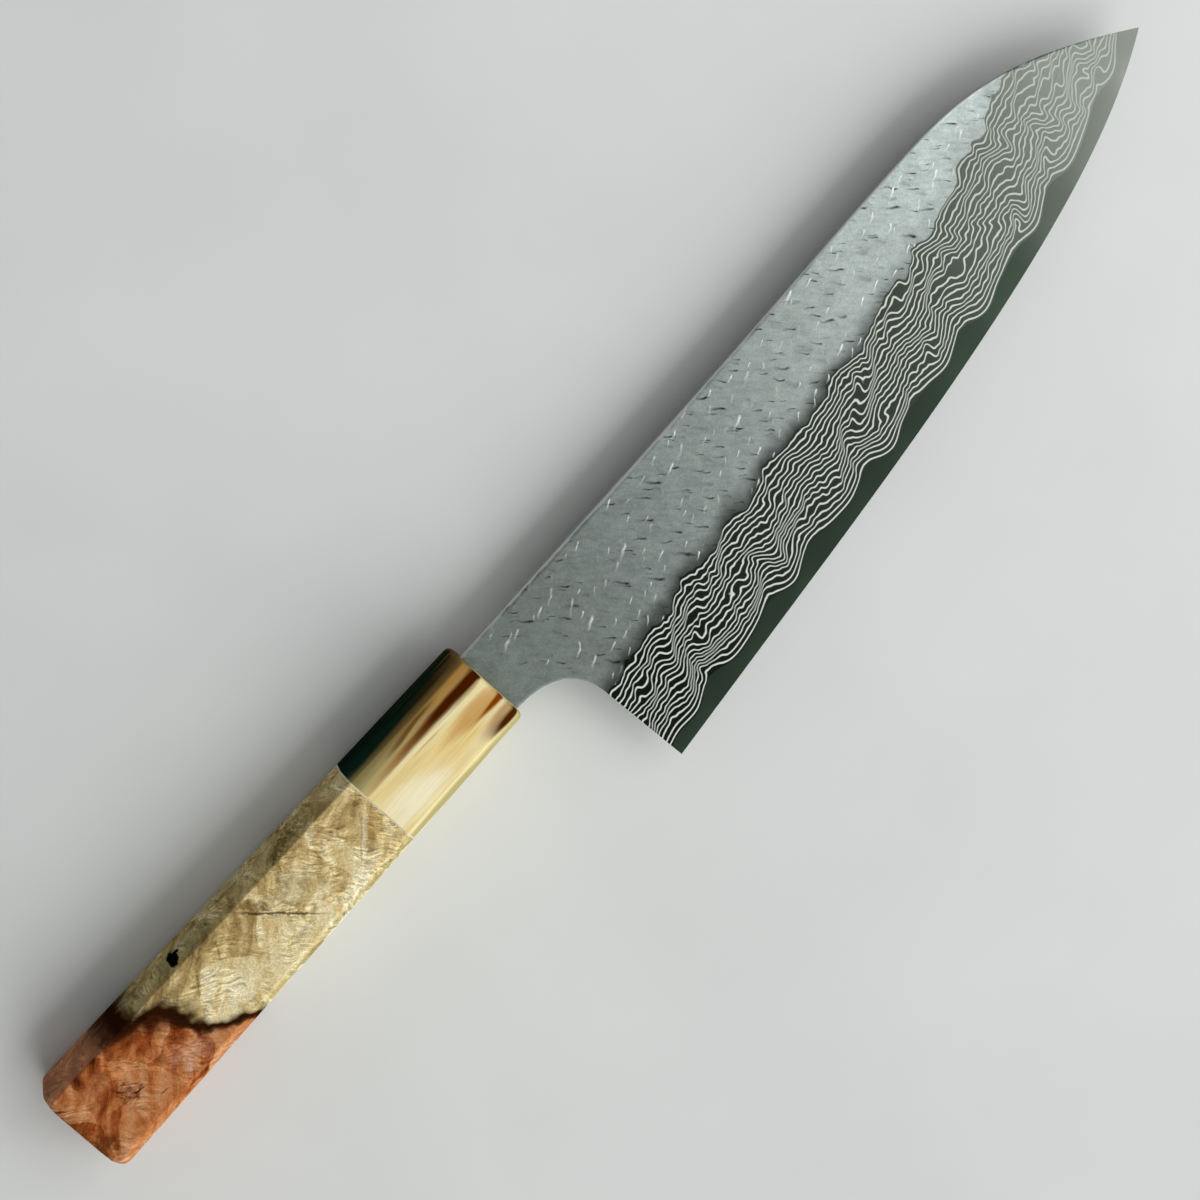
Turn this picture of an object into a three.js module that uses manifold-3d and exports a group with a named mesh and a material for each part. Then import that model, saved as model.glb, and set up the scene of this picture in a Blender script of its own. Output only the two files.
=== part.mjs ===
// A gyuto: a Japanese chef's knife with a clad blade and an octagonal stick-tang handle.
// Millimetres. The knife lies on its side: +X runs to the tip, +Y to the spine, +Z out of the blade's right face.
// While it is built, x = 0 is the ferrule's front face, y = 0 the handle's axis and z = 0 the blade's middle plane.
import * as THREE from "three";
import { mergeVertices } from "three/addons/utils/BufferGeometryUtils.js";
import Module from "manifold-3d";

const wasm = await Module();
wasm.setup();

// Blade outline
const BLADE_REACH = 193.8; // ferrule face to tip
const TIP_DROP = 9.35; // tip below the handle's axis
const SPINE_RISE = 7.55; // spine above the axis at the ferrule
const SPINE_LEAD = 103; // how far the spine holds that line
const HUMP_AT = 142; // where the spine stands highest
const HUMP_RISE = 9.3;
const HUMP_LEAD_IN = 35; // level stretch of the spine before the hump
const HUMP_LEAD_OUT = 15.4; // and after it
const TIP_SPINE_LEAD = 23.2; // how far back the spine holds its slope at the tip
const TIP_SPINE_SLOPE = 0.712;
const HEEL_AT = 16.1; // ferrule face to heel
const HEEL_DROP = 41.9; // heel below the axis
const EDGE_FLAT = 50; // straight stretch of the edge from the heel
const EDGE_SLOPE = 0.102; // its rise per millimetre
const BELLY_LEAD = 77.2; // how softly the belly leaves the straight stretch
const TIP_EDGE_LEAD = 20; // how far back the edge holds its slope at the tip
const TIP_EDGE_SLOPE = 0.569;
const NECK_DROP = 8.9; // underside of the neck below the axis
const NECK_LEAD = 10.65; // how far the neck holds that line
const CHOIL_AT = 15.1; // where the choil's curve meets the back of the heel
const CHOIL_DROP = 21.2;
const CHOIL_LEAD = 7.04;

// Blade section
const NECK_THICK = 2.2; // flats at the ferrule, and the tang
const TIP_THICK = 0.9; // where the flats would end at the tip
const CORE_THICK = 0.6; // hard core between the claddings
const EDGE_THICK = 0.16; // blunt land along the edge
const BEVEL_RISE = 21; // height of the ground bevel above the edge
const CORE_SHOW = 3.75; // mean height of bare core along the edge
const CORE_WAVE = 1.05; // how far the cladding's line swings from it
const CORE_WAVE_LENGTH = 17.7;
const CORE_WAVE_CREST = 33; // a place where the bare core is highest
const STATION_STEP = 2.4; // spacing of the sections that make the bevel

// Tang
const TANG_LENGTH = 78;
const TANG_WIDTH = 9;
const TANG_END_WIDTH = 6;

// Handle
const HANDLE_LENGTH = 127.2;
const FERRULE_LENGTH = 34.2;
const SPACER_THICK = 0.4;
const FRONT_WIDTH = 20.1; // along Y at the ferrule's face
const BUTT_WIDTH = 23.7;
const FRONT_THICK = 17.5; // along Z at the ferrule's face
const BUTT_THICK = 20.5;
const CORNER_CUT_Y = 2.4; // the octagon's corner facets
const CORNER_CUT_Z = 4.2;
const FRONT_CHAMFER = 1;
const BUTT_ROUND = 2.8;
const BUTT_ROUND_STEPS = 4;

// Dowel, and the gaps between what is glued together
const FRONT_WALL = 6; // horn left in front of the dowel
const DOWEL_DIAMETER = 12;
const DOWEL_LENGTH = 92;
const DOWEL_SIDES = 32;
const GLUE_GAP = 0.1;
const BOND_WALL = 0.35; // resin on each side of the tang
const BOND_END = 3; // resin past the tang's end

const CURVE_STEPS = 24;
const OVERRUN = 10; // how far cutting shapes run past what they cut

// Turns a closed geometry into a solid that can be cut and joined.
function solidOf(geometry) {
  const bare = geometry.clone();
  bare.deleteAttribute("normal");
  bare.deleteAttribute("uv");
  const merged = mergeVertices(bare, 1e-5);
  const vertProperties = new Float32Array(merged.getAttribute("position").array);
  const triVerts = new Uint32Array(merged.index.array);
  return new wasm.Manifold(new wasm.Mesh({ numProp: 3, vertProperties, triVerts }));
}

// Turns a solid back into a geometry.
function geometryOf(solid) {
  const mesh = solid.getMesh();
  const geometry = new THREE.BufferGeometry();
  geometry.setAttribute("position", new THREE.BufferAttribute(mesh.vertProperties, 3));
  geometry.setIndex(new THREE.BufferAttribute(mesh.triVerts, 1));
  geometry.computeVertexNormals();
  return geometry;
}

// Skins a row of convex sections, listed towards +X, each one running from Y towards Z.
function loft(sections) {
  const sides = sections[0].length;
  const last = (sections.length - 1) * sides;
  const index = [];
  for (let k = 0; k + 1 < sections.length; k += 1) {
    for (let i = 0; i < sides; i += 1) {
      const here = k * sides + i;
      const next = k * sides + ((i + 1) % sides);
      index.push(here, next, next + sides, here, next + sides, here + sides);
    }
  }
  for (let i = 1; i + 1 < sides; i += 1) {
    index.push(0, i + 1, i, last, last + i, last + i + 1);
  }
  const geometry = new THREE.BufferGeometry().setFromPoints(sections.flat());
  return geometry.setIndex(index);
}

// The edge's two stretches: straight from the heel, then the belly up to the tip.
const heel = new THREE.Vector2(HEEL_AT, -HEEL_DROP);
const tip = new THREE.Vector2(BLADE_REACH, -TIP_DROP);
const flatEnd = new THREE.Vector2(HEEL_AT + EDGE_FLAT, -HEEL_DROP + EDGE_FLAT * EDGE_SLOPE);
const belly = new THREE.CubicBezierCurve(
  flatEnd,
  new THREE.Vector2(flatEnd.x + BELLY_LEAD, flatEnd.y + BELLY_LEAD * EDGE_SLOPE),
  new THREE.Vector2(tip.x - TIP_EDGE_LEAD, tip.y - TIP_EDGE_LEAD * TIP_EDGE_SLOPE),
  tip,
);
const bellyPoints = belly.getPoints(4 * CURVE_STEPS);

// Height of the edge at x, carried on straight past the heel and past the tip.
function edgeHeight(x) {
  if (x <= flatEnd.x) {
    return flatEnd.y + (x - flatEnd.x) * EDGE_SLOPE;
  }
  if (x >= tip.x) {
    return tip.y + (x - tip.x) * TIP_EDGE_SLOPE;
  }
  const k = bellyPoints.findIndex((point) => point.x > x);
  const before = bellyPoints[k - 1];
  const after = bellyPoints[k];
  return before.y + ((after.y - before.y) * (x - before.x)) / (after.x - before.x);
}

// Height of bare core above the edge at x: the cladding ends in a slow wave.
function coreShow(x) {
  return CORE_SHOW + CORE_WAVE * Math.cos((2 * Math.PI * (x - CORE_WAVE_CREST)) / CORE_WAVE_LENGTH);
}

// Half the thickness of the flats at x, thinning from the ferrule to the tip.
function flatHalf(x) {
  const along = THREE.MathUtils.clamp(x / BLADE_REACH, 0, 1);
  return THREE.MathUtils.lerp(NECK_THICK, TIP_THICK, along) / 2;
}

// Places along the blade and tang where its section is drawn.
function bladeStations() {
  const start = -TANG_LENGTH - OVERRUN;
  const count = Math.ceil((BLADE_REACH + OVERRUN) / STATION_STEP);
  const along = Array.from({ length: count + 1 }, (_, k) => ((BLADE_REACH + OVERRUN) * k) / count);
  return [start, ...along];
}

// Lofts a blade layer from a function that gives its section as pairs of y and z.
function bladeLayer(section) {
  const rings = bladeStations().map((x) => section(x).map(([y, z]) => new THREE.Vector3(x, y, z)));
  return solidOf(loft(rings));
}

// The blade's outline from the tang's end round to the tip and back, as a thick blank.
function bladeBlank() {
  const outline = new THREE.Shape();
  outline.moveTo(-TANG_LENGTH, -TANG_END_WIDTH / 2);
  outline.lineTo(0, -TANG_WIDTH / 2);
  outline.lineTo(0, -NECK_DROP);
  outline.bezierCurveTo(
    NECK_LEAD,
    -NECK_DROP,
    CHOIL_AT,
    -CHOIL_DROP + CHOIL_LEAD,
    CHOIL_AT,
    -CHOIL_DROP,
  );
  outline.lineTo(heel.x, heel.y);
  outline.lineTo(flatEnd.x, flatEnd.y);
  outline.bezierCurveTo(belly.v1.x, belly.v1.y, belly.v2.x, belly.v2.y, tip.x, tip.y);
  outline.bezierCurveTo(
    tip.x - TIP_SPINE_LEAD,
    tip.y + TIP_SPINE_LEAD * TIP_SPINE_SLOPE,
    HUMP_AT + HUMP_LEAD_OUT,
    HUMP_RISE,
    HUMP_AT,
    HUMP_RISE,
  );
  outline.bezierCurveTo(HUMP_AT - HUMP_LEAD_IN, HUMP_RISE, SPINE_LEAD, SPINE_RISE, 0, SPINE_RISE);
  outline.lineTo(0, TANG_WIDTH / 2);
  outline.lineTo(-TANG_LENGTH, TANG_END_WIDTH / 2);
  outline.closePath();
  const depth = NECK_THICK + 2 * OVERRUN;
  const blank = new THREE.ExtrudeGeometry(outline, {
    depth,
    bevelEnabled: false,
    curveSegments: CURVE_STEPS,
  });
  return solidOf(blank.translate(0, 0, -depth / 2));
}

const blank = bladeBlank();
const coreHalf = CORE_THICK / 2;
const spineClear = HEEL_DROP + HUMP_RISE + OVERRUN; // carries the flats past the spine

// The hard core: even thickness up to the cladding's line, then ground down to the edge.
function coreSteel() {
  const layer = bladeLayer((x) => {
    const edge = edgeHeight(x);
    const show = coreShow(x);
    const top = edge + BEVEL_RISE + spineClear;
    const low = EDGE_THICK / 8;
    const past = (show * (EDGE_THICK / 2 - low)) / (coreHalf - EDGE_THICK / 2);
    return [
      [edge - past, -low],
      [edge + show, -coreHalf],
      [top, -coreHalf],
      [top, coreHalf],
      [edge + show, coreHalf],
      [edge - past, low],
    ];
  });
  return geometryOf(layer.intersect(blank));
}

// One cladding: a wedge from the cladding's line up to the top of the bevel, then the flat.
function cladding(side) {
  const layer = bladeLayer((x) => {
    const edge = edgeHeight(x);
    const bevelTop = edge + BEVEL_RISE;
    const flat = flatHalf(x);
    const section = [
      [edge + coreShow(x), coreHalf],
      [bevelTop + spineClear, coreHalf],
      [bevelTop + spineClear, flat],
      [bevelTop, flat],
    ];
    return side > 0 ? section : section.map(([y, z]) => [y, -z]).reverse();
  });
  return geometryOf(layer.intersect(blank));
}

// The handle's octagon at x, drawn in by an inset all round.
function octagon(x, inset = 0) {
  const along = -x / HANDLE_LENGTH;
  const a = THREE.MathUtils.lerp(FRONT_WIDTH, BUTT_WIDTH, along) / 2 - inset;
  const b = THREE.MathUtils.lerp(FRONT_THICK, BUTT_THICK, along) / 2 - inset;
  const shoulderY = a - CORNER_CUT_Y;
  const shoulderZ = b - CORNER_CUT_Z;
  const corners = [
    [a, -shoulderZ],
    [a, shoulderZ],
    [shoulderY, b],
    [-shoulderY, b],
    [-a, shoulderZ],
    [-a, -shoulderZ],
    [-shoulderY, -b],
    [shoulderY, -b],
  ];
  return corners.map(([y, z]) => new THREE.Vector3(x, y, z));
}

// A round bar or bore along X between two places.
function roundBar(diameter, from, to) {
  const bar = new THREE.CylinderGeometry(diameter / 2, diameter / 2, to - from, DOWEL_SIDES);
  return bar.rotateZ(Math.PI / 2).translate((from + to) / 2, 0, 0);
}

// A block along X between two places, centred on the handle's axis.
function bar(from, to, width, thick) {
  return new THREE.BoxGeometry(to - from, width, thick).translate((from + to) / 2, 0, 0);
}

const dowelFront = -FRONT_WALL - GLUE_GAP;
const dowelBack = dowelFront - DOWEL_LENGTH;
const boreDiameter = DOWEL_DIAMETER + 2 * GLUE_GAP;
const bore = solidOf(roundBar(boreDiameter, dowelBack - GLUE_GAP, -FRONT_WALL));
const slotThick = NECK_THICK + 2 * BOND_WALL;
const slotBack = -TANG_LENGTH - BOND_END;
const spacerFront = -FERRULE_LENGTH;
const bodyFront = spacerFront - SPACER_THICK;

// The horn collar, with its front edge broken, a mouth for the tang and a bore for the dowel.
function hornFerrule() {
  const collar = loft([octagon(spacerFront), octagon(-FRONT_CHAMFER), octagon(0, FRONT_CHAMFER)]);
  const mouth = bar(-FRONT_WALL - OVERRUN, OVERRUN, TANG_WIDTH + 2 * BOND_WALL, slotThick);
  return geometryOf(solidOf(collar).subtract(solidOf(mouth)).subtract(bore));
}

// The pale washer between horn and wood.
function seamSpacer() {
  return geometryOf(solidOf(loft([octagon(bodyFront), octagon(spacerFront)])).subtract(bore));
}

// The wooden grip, with a rounded butt and a blind bore.
function handleBody() {
  const butt = Array.from({ length: BUTT_ROUND_STEPS + 1 }, (_, k) => {
    const turn = (Math.PI / 2) * (1 - k / BUTT_ROUND_STEPS);
    const x = -HANDLE_LENGTH + BUTT_ROUND * (1 - Math.sin(turn));
    return octagon(x, BUTT_ROUND * (1 - Math.cos(turn)));
  });
  return geometryOf(solidOf(loft([...butt, octagon(bodyFront)])).subtract(bore));
}

// The dowel, sawn open from its front end to past the tang.
function tangDowel() {
  const dowel = solidOf(roundBar(DOWEL_DIAMETER, dowelBack, dowelFront));
  const slot = bar(slotBack - GLUE_GAP, dowelFront + OVERRUN, DOWEL_DIAMETER + OVERRUN, slotThick);
  return geometryOf(dowel.subtract(solidOf(slot)));
}

// The cured resin that fills the dowel's slot above, below and behind the tang.
function tangBond() {
  const half = Math.sqrt((DOWEL_DIAMETER / 2) ** 2 - (slotThick / 2) ** 2);
  const front = dowelFront;
  const tangHalf = (x) => THREE.MathUtils.lerp(TANG_WIDTH, TANG_END_WIDTH, -x / TANG_LENGTH) / 2;
  const shape = new THREE.Shape();
  shape.moveTo(slotBack, -half);
  shape.lineTo(front, -half);
  shape.lineTo(front, -tangHalf(front) - GLUE_GAP);
  shape.lineTo(-TANG_LENGTH - GLUE_GAP, -tangHalf(-TANG_LENGTH) - GLUE_GAP);
  shape.lineTo(-TANG_LENGTH - GLUE_GAP, tangHalf(-TANG_LENGTH) + GLUE_GAP);
  shape.lineTo(front, tangHalf(front) + GLUE_GAP);
  shape.lineTo(front, half);
  shape.lineTo(slotBack, half);
  shape.closePath();
  const depth = slotThick - 2 * GLUE_GAP;
  const geometry = new THREE.ExtrudeGeometry(shape, { depth, bevelEnabled: false });
  return geometry.translate(0, 0, -depth / 2);
}

// Makes one named piece with its own finish.
function piece(name, geometry, color, roughness, metalness) {
  const material = new THREE.MeshStandardMaterial({ color, roughness, metalness });
  const mesh = new THREE.Mesh(geometry, material);
  mesh.name = name;
  return mesh;
}

const knife = new THREE.Group();
knife.add(
  piece("core_steel", coreSteel(), 0x5e685f, 0.35, 1),
  piece("right_cladding", cladding(1), 0x8d9490, 0.4, 1),
  piece("left_cladding", cladding(-1), 0x8d9490, 0.4, 1),
  piece("horn_ferrule", hornFerrule(), 0xeadba6, 0.25, 0),
  piece("seam_spacer", seamSpacer(), 0xe6dcc0, 0.45, 0),
  piece("handle_body", handleBody(), 0xc39d63, 0.35, 0),
  piece("tang_dowel", tangDowel(), 0xb98d5a, 0.7, 0),
  piece("tang_bond", tangBond(), 0xcfc39a, 0.3, 0),
);

// The origin is under the middle of the whole knife, on the surface that it lies on.
const box = new THREE.Box3().setFromObject(knife);
const middle = box.getCenter(new THREE.Vector3());
knife.position.set(-middle.x, -middle.y, -box.min.z);

export default knife;
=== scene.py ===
"""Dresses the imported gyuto: a clad blade, a horn ferrule, a burl grip, and the studio that they are seen in.

Pieces are modelled in millimetres in the knife's own frame. There x = 0 is the ferrule's front face, y = 0
the handle's axis and z = 0 the blade's middle plane, with +X to the tip, +Y to the spine and +Z out of the
blade's right face. Each finished mesh is then put into the row frame, in metres.
"""

import logging
import math
from dataclasses import dataclass
from enum import Enum, IntEnum
from functools import cached_property, partial
from typing import Any, Callable, Sequence

import bmesh
import bpy
import numpy as np
from mathutils import Matrix, Vector


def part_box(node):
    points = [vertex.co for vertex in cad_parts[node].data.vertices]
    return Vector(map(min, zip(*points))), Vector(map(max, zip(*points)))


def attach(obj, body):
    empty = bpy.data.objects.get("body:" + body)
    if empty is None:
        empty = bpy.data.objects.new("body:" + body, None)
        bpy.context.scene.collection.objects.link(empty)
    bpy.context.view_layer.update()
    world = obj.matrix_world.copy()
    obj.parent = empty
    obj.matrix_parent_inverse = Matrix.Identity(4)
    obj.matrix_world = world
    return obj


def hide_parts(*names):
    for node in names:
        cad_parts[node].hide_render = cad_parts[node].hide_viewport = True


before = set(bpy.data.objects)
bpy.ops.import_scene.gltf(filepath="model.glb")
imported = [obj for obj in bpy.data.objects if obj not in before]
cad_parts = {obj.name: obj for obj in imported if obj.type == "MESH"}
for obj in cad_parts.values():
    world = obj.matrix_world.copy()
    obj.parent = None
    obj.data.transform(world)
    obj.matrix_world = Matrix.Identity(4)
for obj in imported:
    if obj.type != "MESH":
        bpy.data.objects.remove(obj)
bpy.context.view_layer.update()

LOG = logging.getLogger("gyuto")
MM = 0.001
MERGE_GAP = 0.0004  # mm between points that are one
LAMP_POWER = 4.0  # watts for a square metre of lamp that is as bright as white paper

Socket = bpy.types.NodeSocket
Adder = Callable[..., Any]  # adds a node to one material (see add_node)
Span = tuple[float, float]
Triple = tuple[float, float, float]
Tone = tuple[float, float, float, float]  # a noise's value from and to, and the shade at each
Ramp = tuple[tuple[float, str], ...]  # places and hex colours
Steps = tuple[tuple[float, float, float, str], ...]  # start, end, the most that it covers, and its colour
Curve = Callable[[np.ndarray], np.ndarray]
Field = Callable[[np.ndarray, np.ndarray], np.ndarray]
WaveSet = tuple[int, Span, Span, float]  # count, lengths along and across, and swing (see Waves)


def linear(hex_colour: str) -> tuple[float, ...]:
    """Turns an sRGB hex colour into linear red, green, blue and alpha."""
    channels = [int(hex_colour[k : k + 2], 16) / 255 for k in (1, 3, 5)]
    return (*(c / 12.92 if c <= 0.04045 else ((c + 0.055) / 1.055) ** 2.4 for c in channels), 1.0)


def add_node(
    tree: bpy.types.NodeTree,
    kind: str,
    inputs: dict[str | int, Any] | Sequence[Any] = (),
    stops: Sequence[tuple[float, str]] = (),
    out: str | int | None = 0,
    **settings: Any,
) -> Any:
    """Adds a shader node with its settings, and fills or links its inputs.

    Args:
        tree: The material's or the world's nodes.
        kind: The node's type, without the word ShaderNode.
        inputs: Values, or the sockets that feed them, in the node's own order or by input name or number.
        stops: Places and hex colours of a colour ramp.
        out: The output to give, or None for all of them.
        settings: The node's own properties.

    Returns:
        The socket of that output, or all the outputs.
    """
    made = tree.nodes.new(f"ShaderNode{kind}")
    for name, value in settings.items():
        setattr(made, name, value)
    for key, value in inputs.items() if isinstance(inputs, dict) else enumerate(inputs):
        if isinstance(value, Socket):
            tree.links.new(value, made.inputs[key])
        else:
            made.inputs[key].default_value = value
    for spot, (place, colour) in enumerate(stops):
        elements = made.color_ramp.elements
        element = elements[spot] if spot < len(elements) else elements.new(place)
        element.position = place
        element.color = linear(colour)
    return made.outputs if out is None else made.outputs[out]


def add_fibres(add: Adder, place: Socket, size: Triple, detail: float) -> Socket:
    """Makes noise that is drawn out along the axes.

    Args:
        add: Adds a node to the material.
        place: The point in knife millimetres.
        size: Millimetres between its turns along each axis.
        detail: How many finer layers it has.

    Returns:
        The noise, about 0.5.
    """
    drawn = add("Mapping", {"Vector": place, "Scale": tuple(1 / length for length in size)})
    return add("TexNoise", {"Vector": drawn, "Scale": 1.0, "Detail": detail})


def eased(start: float, end: float, value: np.ndarray) -> np.ndarray:
    """Goes smoothly from 0 at start to 1 at end."""
    share = np.clip((value - start) / (end - start), 0.0, 1.0)
    return share * share * (3.0 - 2.0 * share)


def bezier(points: Sequence[tuple[float, float]], count: int = 400) -> np.ndarray:
    """Samples a cubic curve.

    Args:
        points: Its start, two handles and end.
        count: How many samples.

    Returns:
        One row of x and y for each sample.
    """
    t = np.linspace(0.0, 1.0, count)[:, None]
    start, lead, trail, end = (np.array(point) for point in points)
    return (1 - t) ** 3 * start + 3 * (1 - t) ** 2 * t * lead + 3 * (1 - t) * t**2 * trail + t**3 * end


@dataclass(frozen=True)
class KnifeFrame:
    """Where the knife's own frame lies in the row frame."""

    origin: Vector

    @classmethod
    def from_nodes(cls) -> "KnifeFrame":
        """Reads the origin from the ferrule's and the core's boxes."""
        ferrule_low, ferrule_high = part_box("horn_ferrule")
        core_low, core_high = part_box("core_steel")
        middle = (ferrule_low + ferrule_high) / 2
        return cls(Vector((ferrule_high.x, middle.y, (core_low.z + core_high.z) / 2)))

    def to_row(self) -> Matrix:
        """Gives the matrix from knife millimetres to row metres."""
        return Matrix.Translation(self.origin) @ Matrix.Scale(MM, 4)

    def box(self, node: str) -> tuple[Vector, Vector]:
        """Gives a node's lowest and highest corners in knife millimetres."""
        low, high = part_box(node)
        return (low - self.origin) / MM, (high - self.origin) / MM

    def add_piece(
        self, bm: bmesh.types.BMesh, name: str, node: str, slot: str, finish: "Finish", sharp: float = 30.0
    ) -> bpy.types.Object:
        """Makes a bmesh the finished piece that stands for a node.

        Args:
            bm: The shape in knife millimetres, freed here.
            name: The piece's name.
            node: The CAD node that it replaces.
            slot: The record's material slot, which is not used.
            finish: What it is dressed in.
            sharp: Degrees between faces from which an edge stays crisp.

        Returns:
            The new object.
        """
        bmesh.ops.recalc_face_normals(bm, faces=bm.faces[:])
        mesh = bpy.data.meshes.new(name)
        bm.to_mesh(mesh)
        bm.free()
        mesh.shade_smooth()
        mesh.set_sharp_from_angle(angle=math.radians(sharp))
        mesh.transform(self.to_row())
        mesh.materials.append(finish.make(self))
        piece = bpy.data.objects.new(name, mesh)
        bpy.context.scene.collection.objects.link(piece)
        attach(piece, "root")
        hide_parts(node)
        mesh.calc_loop_triangles()
        LOG.info("%s stands for %s: %d triangles", name, node, len(mesh.loop_triangles))
        return piece


class Finish:
    """A finish: one procedural material on a principled shader."""

    label = ""

    def make(self, knife: KnifeFrame) -> bpy.types.Material:
        """Builds the material with coordinates in knife millimetres.

        Args:
            knife: The knife's own frame.

        Returns:
            The material.
        """
        material = bpy.data.materials.new(self.label)
        material.use_nodes = True
        tree = material.node_tree
        tree.nodes.clear()
        add = partial(add_node, tree)
        spot = add("TexCoord", out="Object")
        place = add("Mapping", {"Vector": spot, "Location": -knife.origin / MM, "Scale": (1 / MM,) * 3})
        shader = add("BsdfPrincipled", self.paint(add, place))
        add("OutputMaterial", {"Surface": shader}, out=None)
        return material

    def paint(self, add: Adder, place: Socket) -> dict[str, Any]:
        """Makes the pattern.

        Args:
            add: Adds a node to this material.
            place: The point in knife millimetres.

        Returns:
            The shader's inputs, each with a value or a socket.
        """
        raise NotImplementedError


@dataclass(frozen=True)
class RimLightStrokeSet:
    """Short strokes on the hammer marks' rims, scattered one to a cell and heaviest at their far end: painted
    highlights where pale, painted shade where dark, over a little relief.
    """

    colour: str
    cell: float  # mm between strokes
    turn: float  # degrees from the blade's length
    reach: Span  # half the stroke's length and width, mm
    shift: Triple  # moves the cells, so that no two sets share them
    height: float  # mm of relief
    strength: float = 1.0


@dataclass(frozen=True)
class LayeredSteel(Finish):
    """Forge-welded stainless layers, ground and etched into bright and dark lines under a hammered skin.

    The soft layers etch dark and the nickel-rich ones stay bright and matt. The skin is satin, with soot-dark
    scale along the grind, short strokes of painted highlight and painted shade on the hammer marks' rims, and
    a painted highlight along the spine. Etch, lines and skin are painted paler towards the tip, where more
    light falls.
    """

    label: str = "Etched layered stainless steel"
    skin_at: float = 17.1  # layers from the core to the skin
    grind_blur: float = 0.15  # layers over which the bevel gives way to the skin, each way
    line_width: float = 0.4  # mm at most
    line_share: float = 0.136  # share of a layer that a line fills, each way from its middle
    line_blur: float = 0.07  # mm
    least_crowd: float = 0.18  # layers in a millimetre
    crowd_fade: Span = (1.3, 2.5)  # layers in a millimetre over which lines run into each other
    crowd_merge: float = 0.6  # how far they do at most
    tip_light_span: Span = (20.0, 190.0)  # x over which etch, lines and skin are painted paler, as light that falls brighter towards the tip
    etch: Ramp = (
        (0.06, "#141814"),
        (0.41, "#2e322e"),
        (0.6, "#3e433e"),
        (0.77, "#5a615a"),
        (0.91, "#7a8179"),
    )
    line: Ramp = ((0.1, "#dde2db"), (0.6, "#dbe0d9"), (0.9, "#ccd1c9"))
    smoke: str = "#3d433f"
    smoke_reach: Span = (-0.6, 4.2)  # layers past the grind over which the dark scale fades
    smoke_ends: Span = (100.0, 135.0)  # x over which it thins out
    smoke_thin: float = 0.8  # how much of it is gone past there
    # painted light: the bare skin's colour is paler towards the tip, where more light falls
    skin: Ramp = ((0.0, "#818b86"), (0.7, "#acb7b3"))
    mottle: float = 5.0  # mm
    mottle_tone: Tone = (0.25, 0.75, 0.86, 1.12)
    grit: float = 0.4  # mm, drawn coarser than the blasting grit so that it shows
    grit_tone: Tone = (0.25, 0.75, 0.84, 1.16)
    grit_depth: float = 0.006  # mm
    dent_turn: float = -50.0  # degrees from the blade's length
    dent_size: Triple = (2.4, 0.9, 2.4)  # mm
    dent_tone: Tone = (0.3, 0.7, 0.9, 1.09)
    # a painted highlight along the spine, where its edge catches the light
    spine_highlight: str = "#d4d9d6"
    spine_highlight_width: Span = (0.3, 0.65)  # mm in from the spine
    spine_highlight_spread: Tone = (0.3, 0.7, 0.6, 1.5)  # by which the mottle varies that width
    etch_rough: Span = (0.42, 0.8)  # between the lines and on them
    skin_rough: float = 0.36
    plain_neck: Span = (5.0, 10.0)  # x over which the painted rim strokes begin
    stroke_bend: Span = (2.5, 0.45)  # mm between a stroke's bends, and how far it strays
    stroke_scatter: float = 0.9  # 0 for rows, 1 for anywhere in a cell
    stroke_shrink: Span = (1.9, 0.75)  # divides a stroke's size, at most and at least
    stroke_core: float = 0.3  # share of its width at full strength
    stroke_luck: Span = (0.1, 0.6)  # chances between which a stroke goes from missing to full
    taper: Ramp = ((0.0, "#000000"), (0.8, "#ffffff"), (1.0, "#000000"))
    # painted shade in the dark sets and painted highlights in the pale sets, on the hammer marks' rims, each
    # with a little relief
    rim_light_strokes: tuple[RimLightStrokeSet, ...] = (
        RimLightStrokeSet("#1c221f", 4.9, -50.0, (1.9, 0.3), (3.1, 1.7, 0.0), -0.016, 1.0),
        RimLightStrokeSet("#242a27", 5.6, -46.0, (1.7, 0.27), (41.3, 17.9, 0.0), -0.014, 0.95),
        RimLightStrokeSet("#454c49", 4.4, -56.0, (2.0, 0.6), (77.7, 58.1, 0.0), -0.006, 0.35),
        RimLightStrokeSet("#dde3e0", 5.2, 25.0, (1.7, 0.3), (11.9, 33.3, 0.0), 0.014, 1.0),
        RimLightStrokeSet("#d2d8d5", 6.4, 38.0, (1.4, 0.28), (63.1, 91.7, 0.0), 0.012, 0.95),
    )

    def add_lines(self, add: Adder, layer: Socket) -> Socket:
        """Draws a line along the middle of each layer, narrower where the layers crowd.

        Args:
            add: Adds a node to the material.
            layer: The layer at this point.

        Returns:
            1 on a line and 0 between lines.
        """
        crowd = add("Attribute", attribute_name="crowd", out="Fac")
        tight = add("Math", (crowd, self.least_crowd), operation="MAXIMUM")
        turn = add("Math", (layer,), operation="FRACT")
        signed = add("Math", (turn, 0.5), operation="SUBTRACT")
        share = add("Math", (signed,), operation="ABSOLUTE")
        off = add("Math", (share, tight), operation="DIVIDE")
        cap = add("Math", (self.line_share, tight), operation="DIVIDE")
        half = add("Math", (cap, self.line_width / 2), operation="MINIMUM")
        inner = add("Math", (half, self.line_blur), operation="SUBTRACT")
        outer = add("Math", (half, self.line_blur), operation="ADD")
        line = add("MapRange", (off, inner, outer, 1.0, 0.0), interpolation_type="SMOOTHSTEP")
        merged = add("MapRange", (crowd, *self.crowd_fade, 0.0, self.crowd_merge))
        return add("Mix", {0: merged, 2: line, 3: 2 * self.line_share}, data_type="FLOAT")

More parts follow.
